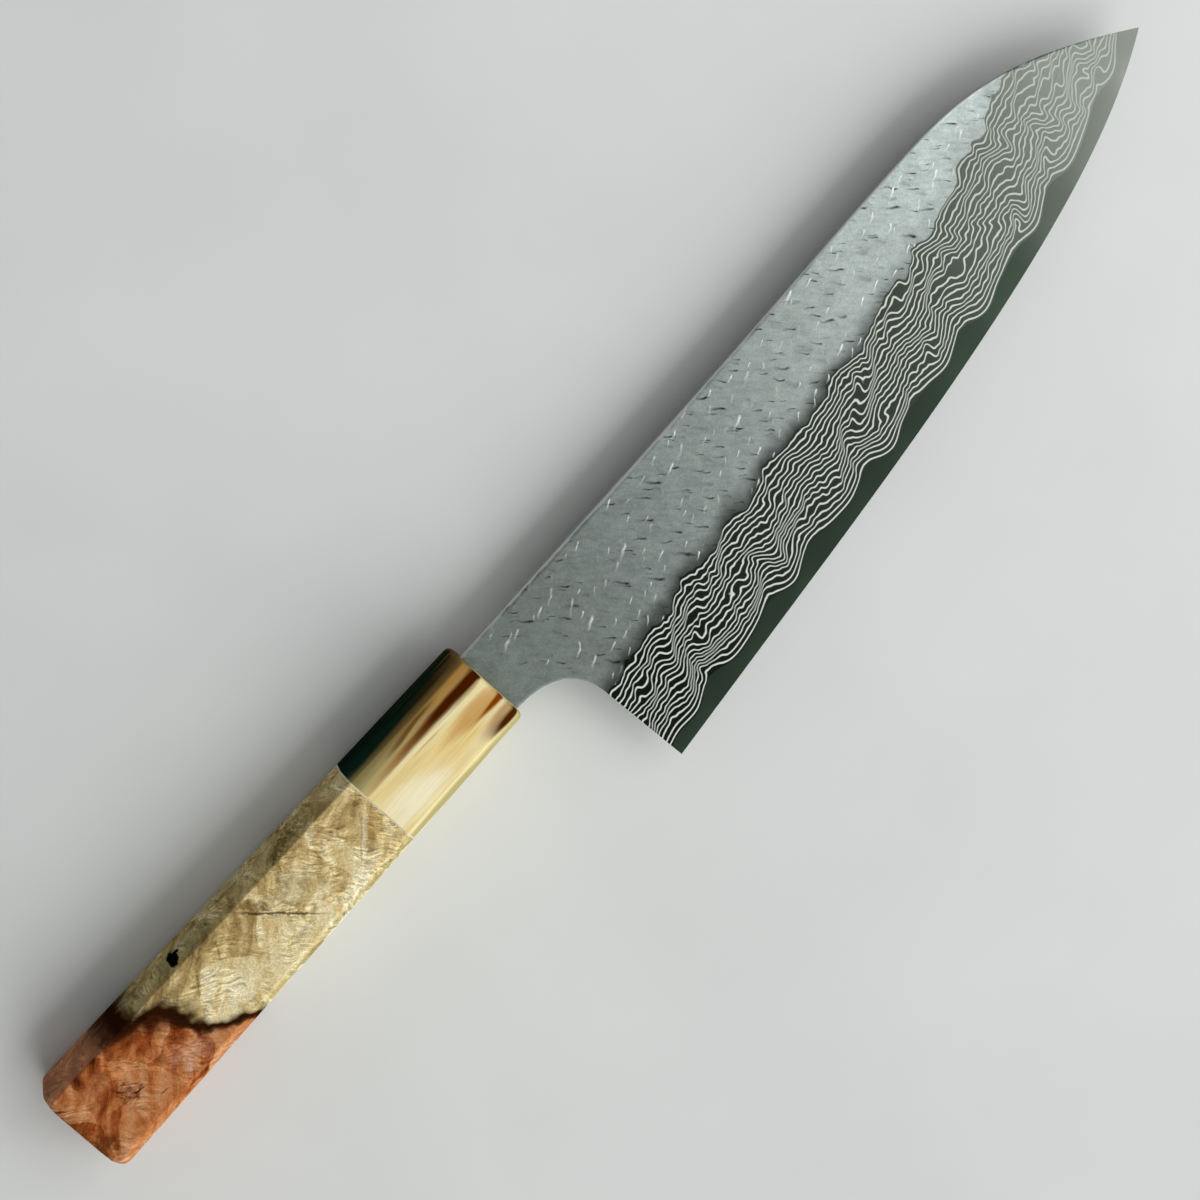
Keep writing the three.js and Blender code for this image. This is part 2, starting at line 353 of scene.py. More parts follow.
    def add_rim_light_strokes(self, add: Adder, place: Socket, skin: Socket) -> tuple[Socket, Socket]:
        """Paints the strokes of highlight and shade on the hammer marks' rims over the skin.

        Args:
            add: Adds a node to the material.
            place: The point in knife millimetres.
            skin: The skin's colour.

        Returns:
            The skin with strokes, and their relief in millimetres.
        """
        gap, swing = self.stroke_bend
        along = add("SeparateXYZ", (place,), out="X")
        begun = add("MapRange", (along, *self.plain_neck))
        wavy = {"Vector": place, "Scale": 1 / gap, "Detail": 1.0}
        bend = add("TexNoise", wavy, normalize=False, out="Color")
        curved = add("VectorMath", (bend, (swing,) * 3, place), operation="MULTIPLY_ADD")
        relief: Socket | float = 0.0
        for rim_light_strokes in self.rim_light_strokes:
            moved = add("Mapping", {"Vector": curved, "Location": rim_light_strokes.shift})
            scattered = {"Vector": moved, "Scale": 1 / rim_light_strokes.cell, "Randomness": self.stroke_scatter}
            cells = add("TexVoronoi", scattered, voronoi_dimensions="2D", out=None)
            chances = add("SeparateColor", (cells["Color"],), out=None)
            shrunk = add("MapRange", (chances[1], 0.0, 1.0, *self.stroke_shrink))
            local = add("VectorMath", (moved, cells["Position"]), operation="SUBTRACT")
            local = add("VectorMath", {0: local, "Scale": shrunk}, operation="SCALE")
            lie = {"Rotation": (0.0, 0.0, math.radians(rim_light_strokes.turn)), "Scale": (*rim_light_strokes.reach, 1.0)}
            turned = add("Mapping", {"Vector": local, **lie}, vector_type="TEXTURE")
            split = add("SeparateXYZ", (turned,), out=None)
            run = add("Math", (split["X"], 0.5, 0.5), operation="MULTIPLY_ADD")
            mark = add("ValToRGB", (run,), self.taper)
            aside = add("Math", (split["Y"],), operation="ABSOLUTE")
            slim = add("MapRange", (aside, self.stroke_core, 1.0, 1.0, 0.0))
            force = add("MapRange", (chances[0], *self.stroke_luck, 0.0, rim_light_strokes.strength))
            for share in (slim, force, begun):
                mark = add("Math", (mark, share), operation="MULTIPLY")
            # painted light: each stroke mixes its colour into the skin, a pale highlight for the pale sets and
            # dark shade for the dark
            skin = add("Mix", {0: mark, 6: skin, 7: linear(rim_light_strokes.colour)}, data_type="RGBA", out=2)
            relief = add("Math", (mark, rim_light_strokes.height, relief), operation="MULTIPLY_ADD")
        return skin, relief

    def paint(self, add: Adder, place: Socket) -> dict[str, Any]:
        """Etches the layers below and hammers the skin above (see Finish.paint)."""
        layer = add("Attribute", attribute_name="layer", out="Fac")
        inside = add("Attribute", attribute_name="inside", out="Fac")
        line = self.add_lines(add, layer)
        along = add("SeparateXYZ", (place,), out="X")
        # painted light: etch, lines and skin grow paler along x towards the tip
        tip_light = add("MapRange", (along, *self.tip_light_span))
        dark, bright, bare = (add("ValToRGB", (tip_light,), ramp) for ramp in (self.etch, self.line, self.skin))
        etched = add("Mix", {0: line, 6: dark, 7: bright}, data_type="RGBA", out=2)
        above = add("Math", (layer, self.skin_at), operation="SUBTRACT")
        thin = add("MapRange", (along, *self.smoke_ends, 0.0, self.smoke_thin))
        clear = add("MapRange", (above, *self.smoke_reach, thin), interpolation_type="SMOOTHSTEP")
        skin = add("Mix", {0: clear, 6: linear(self.smoke), 7: bare}, data_type="RGBA", out=2)
        # painted highlights and shade on the hammer marks' rims
        skin, relief = self.add_rim_light_strokes(add, place, skin)
        cloud, grit = (
            add("TexNoise", {"Vector": place, "Scale": 1 / size, "Detail": detail, "Roughness": 0.6})
            for size, detail in ((self.mottle, 3.0), (self.grit, 2.0))
        )
        swept = {"Rotation": (0.0, 0.0, math.radians(self.dent_turn)), "Scale": self.dent_size}
        swept = add("Mapping", {"Vector": place, **swept}, vector_type="TEXTURE")
        sweep = add("TexNoise", {"Vector": swept, "Scale": 1.0, "Detail": 2.0})
        noises = ((cloud, self.mottle_tone), (grit, self.grit_tone), (sweep, self.dent_tone))
        patchy, speckle, dented = (add("MapRange", (noise, *tone)) for noise, tone in noises)
        shade = add("Math", (patchy, speckle), operation="MULTIPLY")
        shade = add("Math", (shade, dented), operation="MULTIPLY")
        skin = add("VectorMath", {0: skin, "Scale": shade}, operation="SCALE")
        # painted highlight along the spine, its width varied by the mottle
        highlight_spread = add("MapRange", (cloud, *self.spine_highlight_spread))
        deep = add("Math", (inside, highlight_spread), operation="DIVIDE")
        spine_lit = add("MapRange", (deep, *self.spine_highlight_width, 1.0, 0.0))
        skin = add("Mix", {0: spine_lit, 6: skin, 7: linear(self.spine_highlight)}, data_type="RGBA", out=2)
        blur = self.grind_blur
        on_skin = add("MapRange", (above, -blur, blur), interpolation_type="SMOOTHSTEP")
        colour = add("Mix", {0: on_skin, 6: etched, 7: skin}, data_type="RGBA", out=2)
        etch_rough = add("MapRange", (line, 0.0, 1.0, *self.etch_rough))
        roughness = add("Mix", {0: on_skin, 2: etch_rough, 3: self.skin_rough}, data_type="FLOAT")
        pitted = add("Math", (grit, self.grit_depth, relief), operation="MULTIPLY_ADD")
        normal = add("Bump", {"Height": pitted, "Strength": 1.0, "Distance": MM})
        return {"Base Color": colour, "Roughness": roughness, "Metallic": 1.0, "Normal": normal}


@dataclass(frozen=True)
class GroundCoreSteel(Finish):
    """Hard carbon-rich core steel, ground along the blade: an even dark satin with faint streaks, painted
    paler towards the tip as light falls brighter there.
    """

    label: str = "Ground hard core steel"
    streak: Triple = (9.0, 0.35, 0.35)  # mm along each axis
    roughness: Span = (0.30, 0.42)
    span: Span = (100.0, 190.0)  # x over which it is painted paler, as light that falls brighter towards the tip
    tones: Ramp = ((0.0, "#2a352b"), (0.45, "#374238"), (0.78, "#606660"), (0.95, "#71756e"))

    def paint(self, add: Adder, place: Socket) -> dict[str, Any]:
        """Paints the steel paler to the tip, as light, and streaks it along the grind (see Finish.paint)."""
        along = add("SeparateXYZ", (place,), out="X")
        # painted light: the core's colour pales along x towards the tip
        tip_light = add("MapRange", (along, *self.span))
        colour = add("ValToRGB", (tip_light,), self.tones)
        streak = add_fibres(add, place, self.streak, 3.0)
        roughness = add("MapRange", (streak, 0.0, 1.0, *self.roughness))
        return {"Base Color": colour, "Roughness": roughness, "Metallic": 1.0}


@dataclass(frozen=True)
class Streak:
    """A patch of other colour: an ellipsoid in the material, turned about Z."""

    colour: str
    centre: Triple
    reach: Triple
    turn: float = 0.0  # degrees
    solid: float = 0.3  # share of its reach at full strength
    strength: float = 1.0


def add_streaks(add: Adder, place: Socket, colour: Socket, streaks: Sequence[Streak]) -> Socket:
    """Lays streaks over a colour, each in turn.

    Args:
        add: Adds a node to the material.
        place: The point in knife millimetres, with any waviness that the streaks share.
        colour: The colour under them.
        streaks: The streaks.

    Returns:
        The colour with the streaks in it.
    """
    for streak in streaks:
        lie = {"Rotation": (0.0, 0.0, math.radians(streak.turn)), "Scale": streak.reach}
        local = add("Mapping", {"Vector": place, "Location": streak.centre, **lie}, vector_type="TEXTURE")
        far = add("VectorMath", (local,), operation="LENGTH", out="Value")
        fade = (far, streak.solid, 1.0, streak.strength, 0.0)
        here = add("MapRange", fade, interpolation_type="SMOOTHSTEP")
        colour = add("Mix", {0: here, 6: colour, 7: linear(streak.colour)}, data_type="RGBA", out=2)
    return colour


@dataclass(frozen=True)
class RidgeLine:
    """Where the broad facets end: how far the ridges lie from the axis, and how they spread to the butt."""

    front: float  # mm at the handle's front
    spread: float  # mm for each mm back
    side_at: Span = (1.9, 2.3)  # mm past a ridge over which the corner facet gives way to the side

    def add_past(self, add: Adder, place: Socket) -> list[Socket]:
        """Measures how far a point lies past the ridges, in millimetres.

        Args:
            add: Adds a node to the material.
            place: The point in knife millimetres.

        Returns:
            How far it is past the spine's ridge, and past the edge's.
        """
        split = add("SeparateXYZ", (place,), out=None)
        line = add("Math", (split["X"], self.spread, -self.front), operation="MULTIPLY_ADD")
        return [add("Math", (split["Y"], way, line), operation="MULTIPLY_ADD") for way in (1.0, -1.0)]

    def add_side(self, add: Adder, past: Socket) -> Socket:
        """Gives 1 on the handle's side and 0 on the corner facet, from how far a point is past a ridge."""
        return add("MapRange", (past, *self.side_at), interpolation_type="SMOOTHSTEP")


def add_shades(
    add: Adder, colour: Socket, past: Socket, steps: Steps, side: Socket | None = None
) -> Socket:
    """Paints shade onto a colour past a ridge, step by step.

    Args:
        add: Adds a node to the material.
        colour: The colour short of the ridge.
        past: How far the point lies past the ridge, in millimetres.
        steps: Where each step starts and ends, the most that it covers, and its colour.
        side: 1 on the handle's side, where the colour is left as it is, if the steps end there.

    Returns:
        The colour with the steps over it.
    """
    shaded = colour
    for start, end, most, over in steps:
        share = add("MapRange", (past, start, end, 0.0, most), interpolation_type="SMOOTHSTEP")
        shaded = add("Mix", {0: share, 6: shaded, 7: linear(over)}, data_type="RGBA", out=2)
    if side is None:
        return shaded
    return add("Mix", {0: side, 6: shaded, 7: colour}, data_type="RGBA", out=2)


@dataclass(frozen=True)
class PolishedHorn(Finish):
    """Polished blond buffalo horn: cream, with brown streaks from the front and a dark back, its green tint
    painted shade.
    """

    label: str = "Polished blond horn"
    ridge: RidgeLine = RidgeLine(7.65, 0.01415)
    fibre_length: float = 26.0  # mm
    fibre_width: float = 2.4  # mm
    hair_width: float = 0.4  # mm
    hair_tone: Tone = (0.3, 0.7, 0.93, 1.04)
    wander: Triple = (3.0, 0.7, 0.7)  # mm that the streaks stray
    wander_rate: float = 0.35  # of their bends, in a millimetre across
    cream: Ramp = ((0.3, "#e4cb8a"), (0.5, "#f1de9f"), (0.7, "#f9eec4"))
    veil: Ramp = ((0.0, "#7f7548"), (0.5, "#79602f"), (1.0, "#7a5a2a"))
    veil_span: Span = (-5.8, -0.5)  # mm past the spine's ridge
    veil_most: float = 0.95
    back_span: Span = (-0.3, 1.5)  # and for the dark back
    back_run: Span = (-34.0, 0.0)  # x from the horn's back to its front
    # the dark back along x and on its side facet: dark horn, with a green tint that is painted shade
    back: Ramp = ((0.0, "#0e2b20"), (0.5, "#12281b"), (0.78, "#3a2c14"), (1.0, "#66502c"))
    back_side: Ramp = ((0.3, "#0c1d16"), (0.5, "#14251b"), (0.62, "#2c2816"), (0.75, "#5e4726"))
    # painted shade on the edge side's corner facet: pale at the ridge, then darker olive
    lower_facet_shade: Steps = ((0.0, 0.35, 0.45, "#bfb88a"), (0.4, 1.3, 0.6, "#8d8657"))
    streaks: tuple[Streak, ...] = (
        Streak("#fff7d6", (-27.0, -4.2, 9.0), (13.0, 4.6, 6.0), solid=0.2, strength=0.75),
        Streak("#eccf86", (-14.0, -3.0, 9.0), (12.0, 5.0, 6.0), strength=0.6),
        Streak("#c99850", (-6.0, -0.9, 9.0), (12.0, 2.8, 5.0), strength=0.85),
        Streak("#f0e0b4", (-2.0, -4.6, 9.0), (7.0, 1.4, 5.0), strength=0.7),
        Streak("#b08645", (-5.0, 6.4, 9.0), (12.0, 1.6, 5.0), strength=0.75),
        Streak("#8a5a20", (-14.0, 4.2, 9.0), (25.0, 1.7, 5.0), strength=0.9),
        Streak("#451a00", (0.0, 4.1, 9.0), (27.0, 2.0, 5.0), solid=0.42),
        Streak("#5e3a12", (-18.0, 6.5, 9.0), (10.0, 0.6, 5.0), turn=2.0, strength=0.8),
        Streak("#9a7038", (-16.5, 1.7, 9.0), (5.0, 0.4, 5.0), strength=0.4),
        Streak("#c08a3c", (0.0, -2.8, 9.0), (13.0, 1.6, 5.0), strength=0.8),
        Streak("#823f02", (1.2, -2.8, 9.0), (9.0, 1.4, 5.0), solid=0.45),
        Streak("#a06a28", (-1.0, -6.2, 8.5), (11.0, 1.9, 4.0), strength=0.7),
        Streak("#4a2204", (-1.5, -7.3, 8.0), (10.0, 1.4, 4.0), solid=0.4),
        Streak("#8a5a24", (-2.0, -10.2, 2.4), (17.0, 3.0, 1.6), strength=0.8),
        Streak("#a9783a", (-20.0, -10.4, -2.2), (13.0, 3.0, 1.1), strength=0.6),
        Streak("#6a3d14", (-6.0, -2.0, -9.0), (22.0, 1.7, 5.0)),
        Streak("#9a6c34", (-22.0, 3.6, -9.0), (15.0, 1.2, 5.0), strength=0.8),
    )

    def paint(self, add: Adder, place: Socket) -> dict[str, Any]:
        """Runs fibres and streaks along the horn and darkens its back (see Finish.paint)."""
        bends = (1 / self.fibre_length, self.wander_rate, self.wander_rate)
        drift = add("Mapping", {"Vector": place, "Scale": bends})
        stray = add("TexNoise", {"Vector": drift, "Scale": 1.0, "Detail": 3.0}, normalize=False, out="Color")
        bent = add("VectorMath", (stray, self.wander, place), operation="MULTIPLY_ADD")
        fibre, hair = (
            add_fibres(add, bent, (self.fibre_length, width, width), 3.0)
            for width in (self.fibre_width, self.hair_width)
        )
        cream = add("ValToRGB", (fibre,), self.cream)
        past, edge_past = self.ridge.add_past(add, bent)
        along = add("SeparateXYZ", (place,), out="X")
        forward = add("MapRange", (along, *self.back_run))
        # dark horn back, green-tinted with painted shade
        back = add("ValToRGB", (forward,), self.back)
        back_side = add("ValToRGB", (fibre,), self.back_side)
        past_back = self.ridge.add_side(add, past)
        back = add("Mix", {0: past_back, 6: back, 7: back_side}, data_type="RGBA", out=2)
        veiled, backed = (
            add("MapRange", (past, *span, 0.0, most), interpolation_type="SMOOTHSTEP")
            for span, most in ((self.veil_span, self.veil_most), (self.back_span, 1.0))
        )
        veil = add("ValToRGB", (forward,), self.veil)
        colour = add("Mix", {0: veiled, 6: cream, 7: veil}, data_type="RGBA", out=2)
        colour = add_streaks(add, bent, colour, self.streaks)
        # painted shade on the corner facet past the edge side's ridge
        colour = add_shades(add, colour, edge_past, self.lower_facet_shade, self.ridge.add_side(add, edge_past))
        colour = add("Mix", {0: backed, 6: colour, 7: back}, data_type="RGBA", out=2)
        shade = add("MapRange", (hair, *self.hair_tone))
        colour = add("VectorMath", {0: colour, "Scale": shade}, operation="SCALE")
        return {"Base Color": colour, "Roughness": 0.3, "IOR": 1.54, "Specular IOR Level": 0.0}


@dataclass(frozen=True)
class PaleSpacer(Finish):
    """Vulcanised fibre spacer: thin, pale and slightly mottled."""

    label: str = "Pale vulcanised fibre"
    mottle: float = 1.6  # mm
    tones: Ramp = ((0.3, "#c4b88e"), (0.7, "#ddd1a8"))

    def paint(self, add: Adder, place: Socket) -> dict[str, Any]:
        """Mottles the fibre (see Finish.paint)."""
        cloud = add("TexNoise", {"Vector": place, "Scale": 1 / self.mottle, "Detail": 3.0})
        return {"Base Color": add("ValToRGB", (cloud,), self.tones), "Roughness": 0.4}


@dataclass(frozen=True)
class StabilisedBurl(Finish):
    """Resin-stabilised maple burl: angular cream and tan patches, ripples, and red-brown heartwood."""

    label: str = "Stabilised maple burl"
    ridge: RidgeLine = RidgeLine(7.65, 0.01415)
    churn: float = 12.0  # mm between turns of the figure
    churn_swing: float = 2.2  # mm that it strays
    eye: float = 11.0  # mm between the burl's eyes
    eye_tone: Span = (0.16, -0.085)  # the most that an eye lifts the tone, and the level that it starts at
    cloud: float = 6.0  # mm
    cloud_share: float = 0.45  # of the tone
    grain_turn: float = 42.0  # degrees that the grain climbs to the front
    grain: Triple = (13.0, 2.6, 13.0)  # mm along it and across
    grain_share: float = 0.6  # of the tone
    ring: Triple = (0.5, 2.4, 2.4)  # mm between the ripples across the grain, and their length
    ring_strength: float = 0.75
    ring_patch: Tone = (0.4, 0.55, 0.15, 1.0)  # where they show
    fleck: float = 0.4  # mm
    fleck_tone: Tone = (0.3, 0.7, 0.74, 1.22)
    red_calm: float = 0.75  # share of ripples and flecks that the heartwood keeps
    slope: float = 0.045  # tone that the edge's half gains on the spine's
    slope_span: float = 5.0  # mm each way from the axis
    fray_size: float = 2.8  # mm between frays
    fray: Span = (1.7, 0.35)  # mm that the edges of patches, and of lines and knots, stray
    tan: Ramp = (
        (0.33, "#7e673e"),
        (0.43, "#b79e68"),
        (0.52, "#d8c28c"),
        (0.61, "#e3d4a6"),
        (0.74, "#f5ebc8"),
    )
    red: Ramp = ((0.34, "#481c08"), (0.46, "#964d24"), (0.55, "#b87645"), (0.70, "#cf9a70"))
    heart_line: Span = (-92.6, -0.32)  # x on the axis, and its lean with y
    heart_step: Triple = (6.6, 8.4, -6.3)  # y where it starts and ends, and mm forward
    heart_foot: Triple = (-4.0, -9.5, 6.2)
    heart_tear: Span = (3.0, 1.5)  # mm between the tears of its line, and their depth
    heart_blur: Span = (-0.6, 0.5)  # mm past the line over which red gives way to tan
    rim_colour: str = "#2c1407"
    rim_width: Tone = (-1.0, 7.2, 2.6, 8.5)  # y from and to, mm wide at each
    rim_reach: Span = (-1.4, 0.9)  # widths from the line where it starts and ends
    rim: Ramp = (
        (0.0, "#000000"),
        (0.14, "#8a8a8a"),
        (0.31, "#f0f0f0"),
        (0.46, "#ffffff"),
        (0.58, "#ffffff"),
        (0.65, "#eeeeee"),
        (0.74, "#c8c8c8"),
        (0.85, "#8c8c8c"),
        (1.0, "#000000"),
    )
    # painted shade on the spine side's corner facet: darker olive on the sapwood, greyer pink on the heartwood
    tan_spine_facet_shade: Steps = ((-0.1, 0.3, 0.3, "#7d774e"),)
    red_spine_facet_shade: Steps = ((-0.1, 0.3, 0.5, "#c08e70"),)
    # painted shade on the edge side's corner facet, fading out on the side
    edge_facet_shade: Steps = ((-0.1, 0.3, 0.3, "#aea573"), (0.4, 1.4, 0.4, "#837a49"))
    patches: tuple[Streak, ...] = (
        Streak("#97794a", (-72.5, 4.6, 9.0), (5.0, 2.8, 5.0), turn=28.0, strength=0.5),
        Streak("#8f7244", (-45.0, 5.2, 9.0), (6.5, 2.6, 5.0), turn=-18.0, strength=0.5),
        Streak("#b08c4a", (-37.5, -1.5, 9.0), (3.6, 5.0, 5.0), turn=-30.0, strength=0.5),
        Streak("#efe0b0", (-58.0, 2.4, 9.0), (7.5, 4.6, 5.0), turn=25.0, solid=0.1, strength=0.75),
        Streak("#f4e8c0", (-79.5, -4.4, 9.0), (6.5, 2.6, 5.0), turn=8.0, solid=0.1, strength=0.6),
        Streak("#f4e8c0", (-73.0, -5.4, 9.0), (7.5, 1.9, 5.0), turn=40.0, solid=0.1, strength=0.6),
        Streak("#f4e8c0", (-67.0, -3.4, 9.0), (7.5, 1.7, 5.0), turn=42.0, solid=0.1, strength=0.6),
        Streak("#f4e8c0", (-56.5, -3.8, 9.0), (6.5, 2.4, 5.0), turn=30.0, solid=0.1, strength=0.75),
        Streak("#f8eecb", (-46.5, -5.8, 9.0), (9.0, 1.9, 5.0), turn=38.0, solid=0.1, strength=0.7),
        Streak("#7a5d34", (-67.0, 5.8, 9.0), (4.6, 2.0, 5.0), turn=-47.0, strength=0.8),
        Streak("#c4c092", (-84.0, 10.8, 6.0), (17.0, 3.6, 6.0), solid=0.1, strength=0.5),
        Streak("#4c4224", (-52.0, 9.6, 7.0), (10.0, 1.0, 5.0), turn=4.0, strength=0.6),
    )
    lines: tuple[Streak, ...] = (
        Streak("#4a361a", (-64.4, 0.9, 9.0), (12.5, 0.4, 5.0), turn=-49.0, solid=0.4, strength=0.85),
        Streak("#6a5028", (-41.5, -1.4, 9.0), (7.0, 0.35, 5.0), turn=42.0, strength=0.6),
        Streak("#f6ebc6", (-40.5, -1.2, 9.0), (8.0, 1.1, 5.0), turn=42.0, solid=0.1, strength=0.45),
        Streak("#6f5a34", (-86.5, 3.4, 9.0), (4.5, 0.6, 5.0), turn=48.0, strength=0.7),
        Streak("#7a623a", (-78.5, 5.0, 9.0), (3.5, 0.35, 5.0), turn=55.0, strength=0.6),
    )
    knots: tuple[Streak, ...] = (
        Streak("#070605", (-86.4, 10.5, 7.5), (1.6, 1.5, 7.0), solid=0.75),
        Streak("#0c0a07", (-85.2, 10.9, 7.5), (1.4, 0.6, 7.0), solid=0.6),
    )
    red_patches: tuple[Streak, ...] = (
        Streak("#d4a081", (-98.5, -5.0, 9.0), (7.6, 4.4, 5.0), turn=-20.0, solid=0.1, strength=0.55),
        Streak("#c08a5c", (-118.0, 4.5, 9.0), (7.0, 3.4, 5.0), turn=10.0, strength=0.35),
        Streak("#5c2a0c", (-124.5, -5.0, 9.0), (4.6, 3.6, 5.0), turn=30.0, strength=0.8),
        Streak("#6e3714", (-125.0, 1.6, 9.0), (3.2, 2.0, 5.0), strength=0.6),
        Streak("#7a4220", (-105.0, 8.0, 9.0), (8.0, 2.4, 6.0), turn=-10.0, strength=0.6),
        Streak("#642c12", (-112.4, -1.0, 9.0), (3.7, 2.6, 5.0), turn=-25.0, solid=0.15, strength=0.8),
    )
    red_lines: tuple[Streak, ...] = (
        Streak("#dcb79e", (-100.5, -7.0, 9.0), (3.0, 0.9, 5.0), turn=40.0, solid=0.1, strength=0.6),
        Streak("#4a200c", (-125.2, 6.6, 9.0), (2.8, 0.6, 5.0), turn=-25.0, strength=0.9),
        Streak("#3c1808", (-111.2, -2.3, 9.0), (2.2, 0.4, 5.0), turn=-20.0, strength=0.9),
        Streak("#3c1808", (-113.9, 0.4, 9.0), (1.9, 0.35, 5.0), turn=-50.0, strength=0.85),
        Streak("#43200e", (-112.0, 0.6, 9.0), (1.5, 0.25, 5.0), turn=-38.0, strength=0.8),
        Streak("#43200e", (-113.4, -1.6, 9.0), (1.3, 0.25, 5.0), turn=-60.0, strength=0.8),
        Streak("#4c2210", (-107.8, -6.4, 9.0), (1.6, 0.3, 5.0), turn=-15.0, strength=0.8),
        Streak("#4c2210", (-110.4, -0.6, 9.0), (1.6, 0.25, 5.0), turn=-32.0, strength=0.75),
        Streak("#4c2210", (-112.4, -2.6, 9.0), (1.4, 0.25, 5.0), turn=-8.0, strength=0.75),
        Streak("#52260f", (-114.6, -0.6, 9.0), (1.5, 0.25, 5.0), turn=-65.0, strength=0.7),
        Streak("#52260f", (-112.6, 1.2, 9.0), (1.6, 0.22, 5.0), turn=-20.0, strength=0.65),
    )

    def add_figure(self, add: Adder, place: Socket) -> tuple[Socket, Socket]:
        """Makes the figure: patches of tone that follow the grain, and ripples across it.

        Args:
            add: Adds a node to the material.
            place: The point in knife millimetres.

        Returns:
            The tone, about 0.3 to 0.8, and the ripples' shade, about 1.
        """
        turning = {"Vector": place, "Scale": 1 / self.churn, "Detail": 2.0}
        churn = add("TexNoise", turning, normalize=False, out="Color")
        bent = add("VectorMath", (churn, (self.churn_swing,) * 3, place), operation="MULTIPLY_ADD")
        climb = (0.0, 0.0, math.radians(self.grain_turn))
        turned = add("Mapping", {"Vector": bent, "Rotation": climb}, vector_type="TEXTURE")
        bands, across = (
            add("Mapping", {"Vector": turned, "Scale": tuple(1 / length for length in size)})
            for size in (self.grain, self.ring)
        )
        eyes = add("TexVoronoi", {"Vector": bent, "Scale": 1 / self.eye}, out="Color")
        chance = add("SeparateColor", (eyes,))
        cloudy = {"Vector": bent, "Scale": 1 / self.cloud}
        cloud = add("TexNoise", {**cloudy, "Detail": 6.0, "Roughness": 0.66})
        band = add("TexNoise", {"Vector": bands, "Scale": 1.0, "Detail": 4.0, "Roughness": 0.6})
        upward = add("SeparateXYZ", (place,), out="Y")
        level = add("MapRange", (upward, -self.slope_span, self.slope_span, self.slope, -self.slope))
        tone = add("Math", (chance, *self.eye_tone), operation="MULTIPLY_ADD")
        tone = add("Math", (tone, level), operation="ADD")
        tone = add("Math", (band, self.grain_share, tone), operation="MULTIPLY_ADD")
        tone = add("Math", (cloud, self.cloud_share, tone), operation="MULTIPLY_ADD")
        rippled = {"Vector": across, "Scale": 1.0, "Detail": 1.5, "Roughness": 0.5, "Distortion": 0.5}
        rings = add("TexNoise", rippled, normalize=False)
        patchy = add("TexNoise", {**cloudy, "Detail": 1.0})
        lively = add("MapRange", (patchy, *self.ring_patch))
        drawn = add("Math", (rings, lively), operation="MULTIPLY")
        fleck = add("TexNoise", {"Vector": place, "Scale": 1 / self.fleck, "Detail": 2.0, "Roughness": 0.7})
        pale = add("MapRange", (fleck, *self.fleck_tone))
        ringed = add("Math", (drawn, self.ring_strength, 1.0), operation="MULTIPLY_ADD")
        return tone, add("Math", (ringed, pale), operation="MULTIPLY")

    def add_off_heart(self, add: Adder, place: Socket) -> Socket:
        """Measures how far a point lies in front of the heartwood's ragged line, in mm along the handle.

        Args:
            add: Adds a node to the material.
            place: The point in knife millimetres.

        Returns:
            The distance, less than 0 in the heartwood.
        """
        split = add("SeparateXYZ", (place,), out=None)
        at, lean = self.heart_line
        curved = add("Math", (split["Y"], -lean, split["X"]), operation="MULTIPLY_ADD")
        for start, end, forward in (self.heart_step, self.heart_foot):
            moved = add("MapRange", (split["Y"], start, end, 0.0, forward))
            curved = add("Math", (curved, moved), operation="SUBTRACT")
        gap, depth = self.heart_tear
        uneven = {"Vector": place, "Scale": 1 / gap, "Detail": 1.0, "Roughness": 0.55}
        ragged = add("TexNoise", uneven, normalize=False)
        torn = add("Math", (ragged, depth, curved), operation="MULTIPLY_ADD")
        return add("Math", (torn, at), operation="SUBTRACT")

    def paint(self, add: Adder, place: Socket) -> dict[str, Any]:
        """Lays sapwood, heartwood and the dark rim between them (see Finish.paint)."""
        tone, shade = self.add_figure(add, place)
        frayed = {"Vector": place, "Scale": 1 / self.fray_size, "Detail": 5.0, "Roughness": 0.72}
        torn = add("TexNoise", frayed, normalize=False, out="Color")
        patchy, crisp = (
            add("VectorMath", (torn, (reach,) * 3, place), operation="MULTIPLY_ADD") for reach in self.fray
        )
        tan = add("ValToRGB", (tone,), self.tan)
        tan = add_streaks(add, patchy, tan, self.patches)
        tan = add_streaks(add, crisp, tan, self.lines)
        red = add("ValToRGB", (tone,), self.red)
        red = add_streaks(add, patchy, red, self.red_patches)
        red = add_streaks(add, crisp, red, self.red_lines)
        off = self.add_off_heart(add, place)
        heart = add("MapRange", (off, *self.heart_blur, 1.0, 0.0), interpolation_type="SMOOTHSTEP")
        upward = add("SeparateXYZ", (place,), out="Y")
        breadth = add("MapRange", (upward, *self.rim_width))
        spread = add("Math", (off, breadth), operation="DIVIDE")
        across = add("MapRange", (spread, *self.rim_reach))
        rim = add("ValToRGB", (across,), self.rim)
        spine_past, edge_past = self.ridge.add_past(add, place)
        # painted shade on the sapwood's spine-side corner facet
        tan = add_shades(add, tan, spine_past, self.tan_spine_facet_shade)
        # painted shade on the corner facet past the edge side's ridge
        tan = add_shades(add, tan, edge_past, self.edge_facet_shade, self.ridge.add_side(add, edge_past))
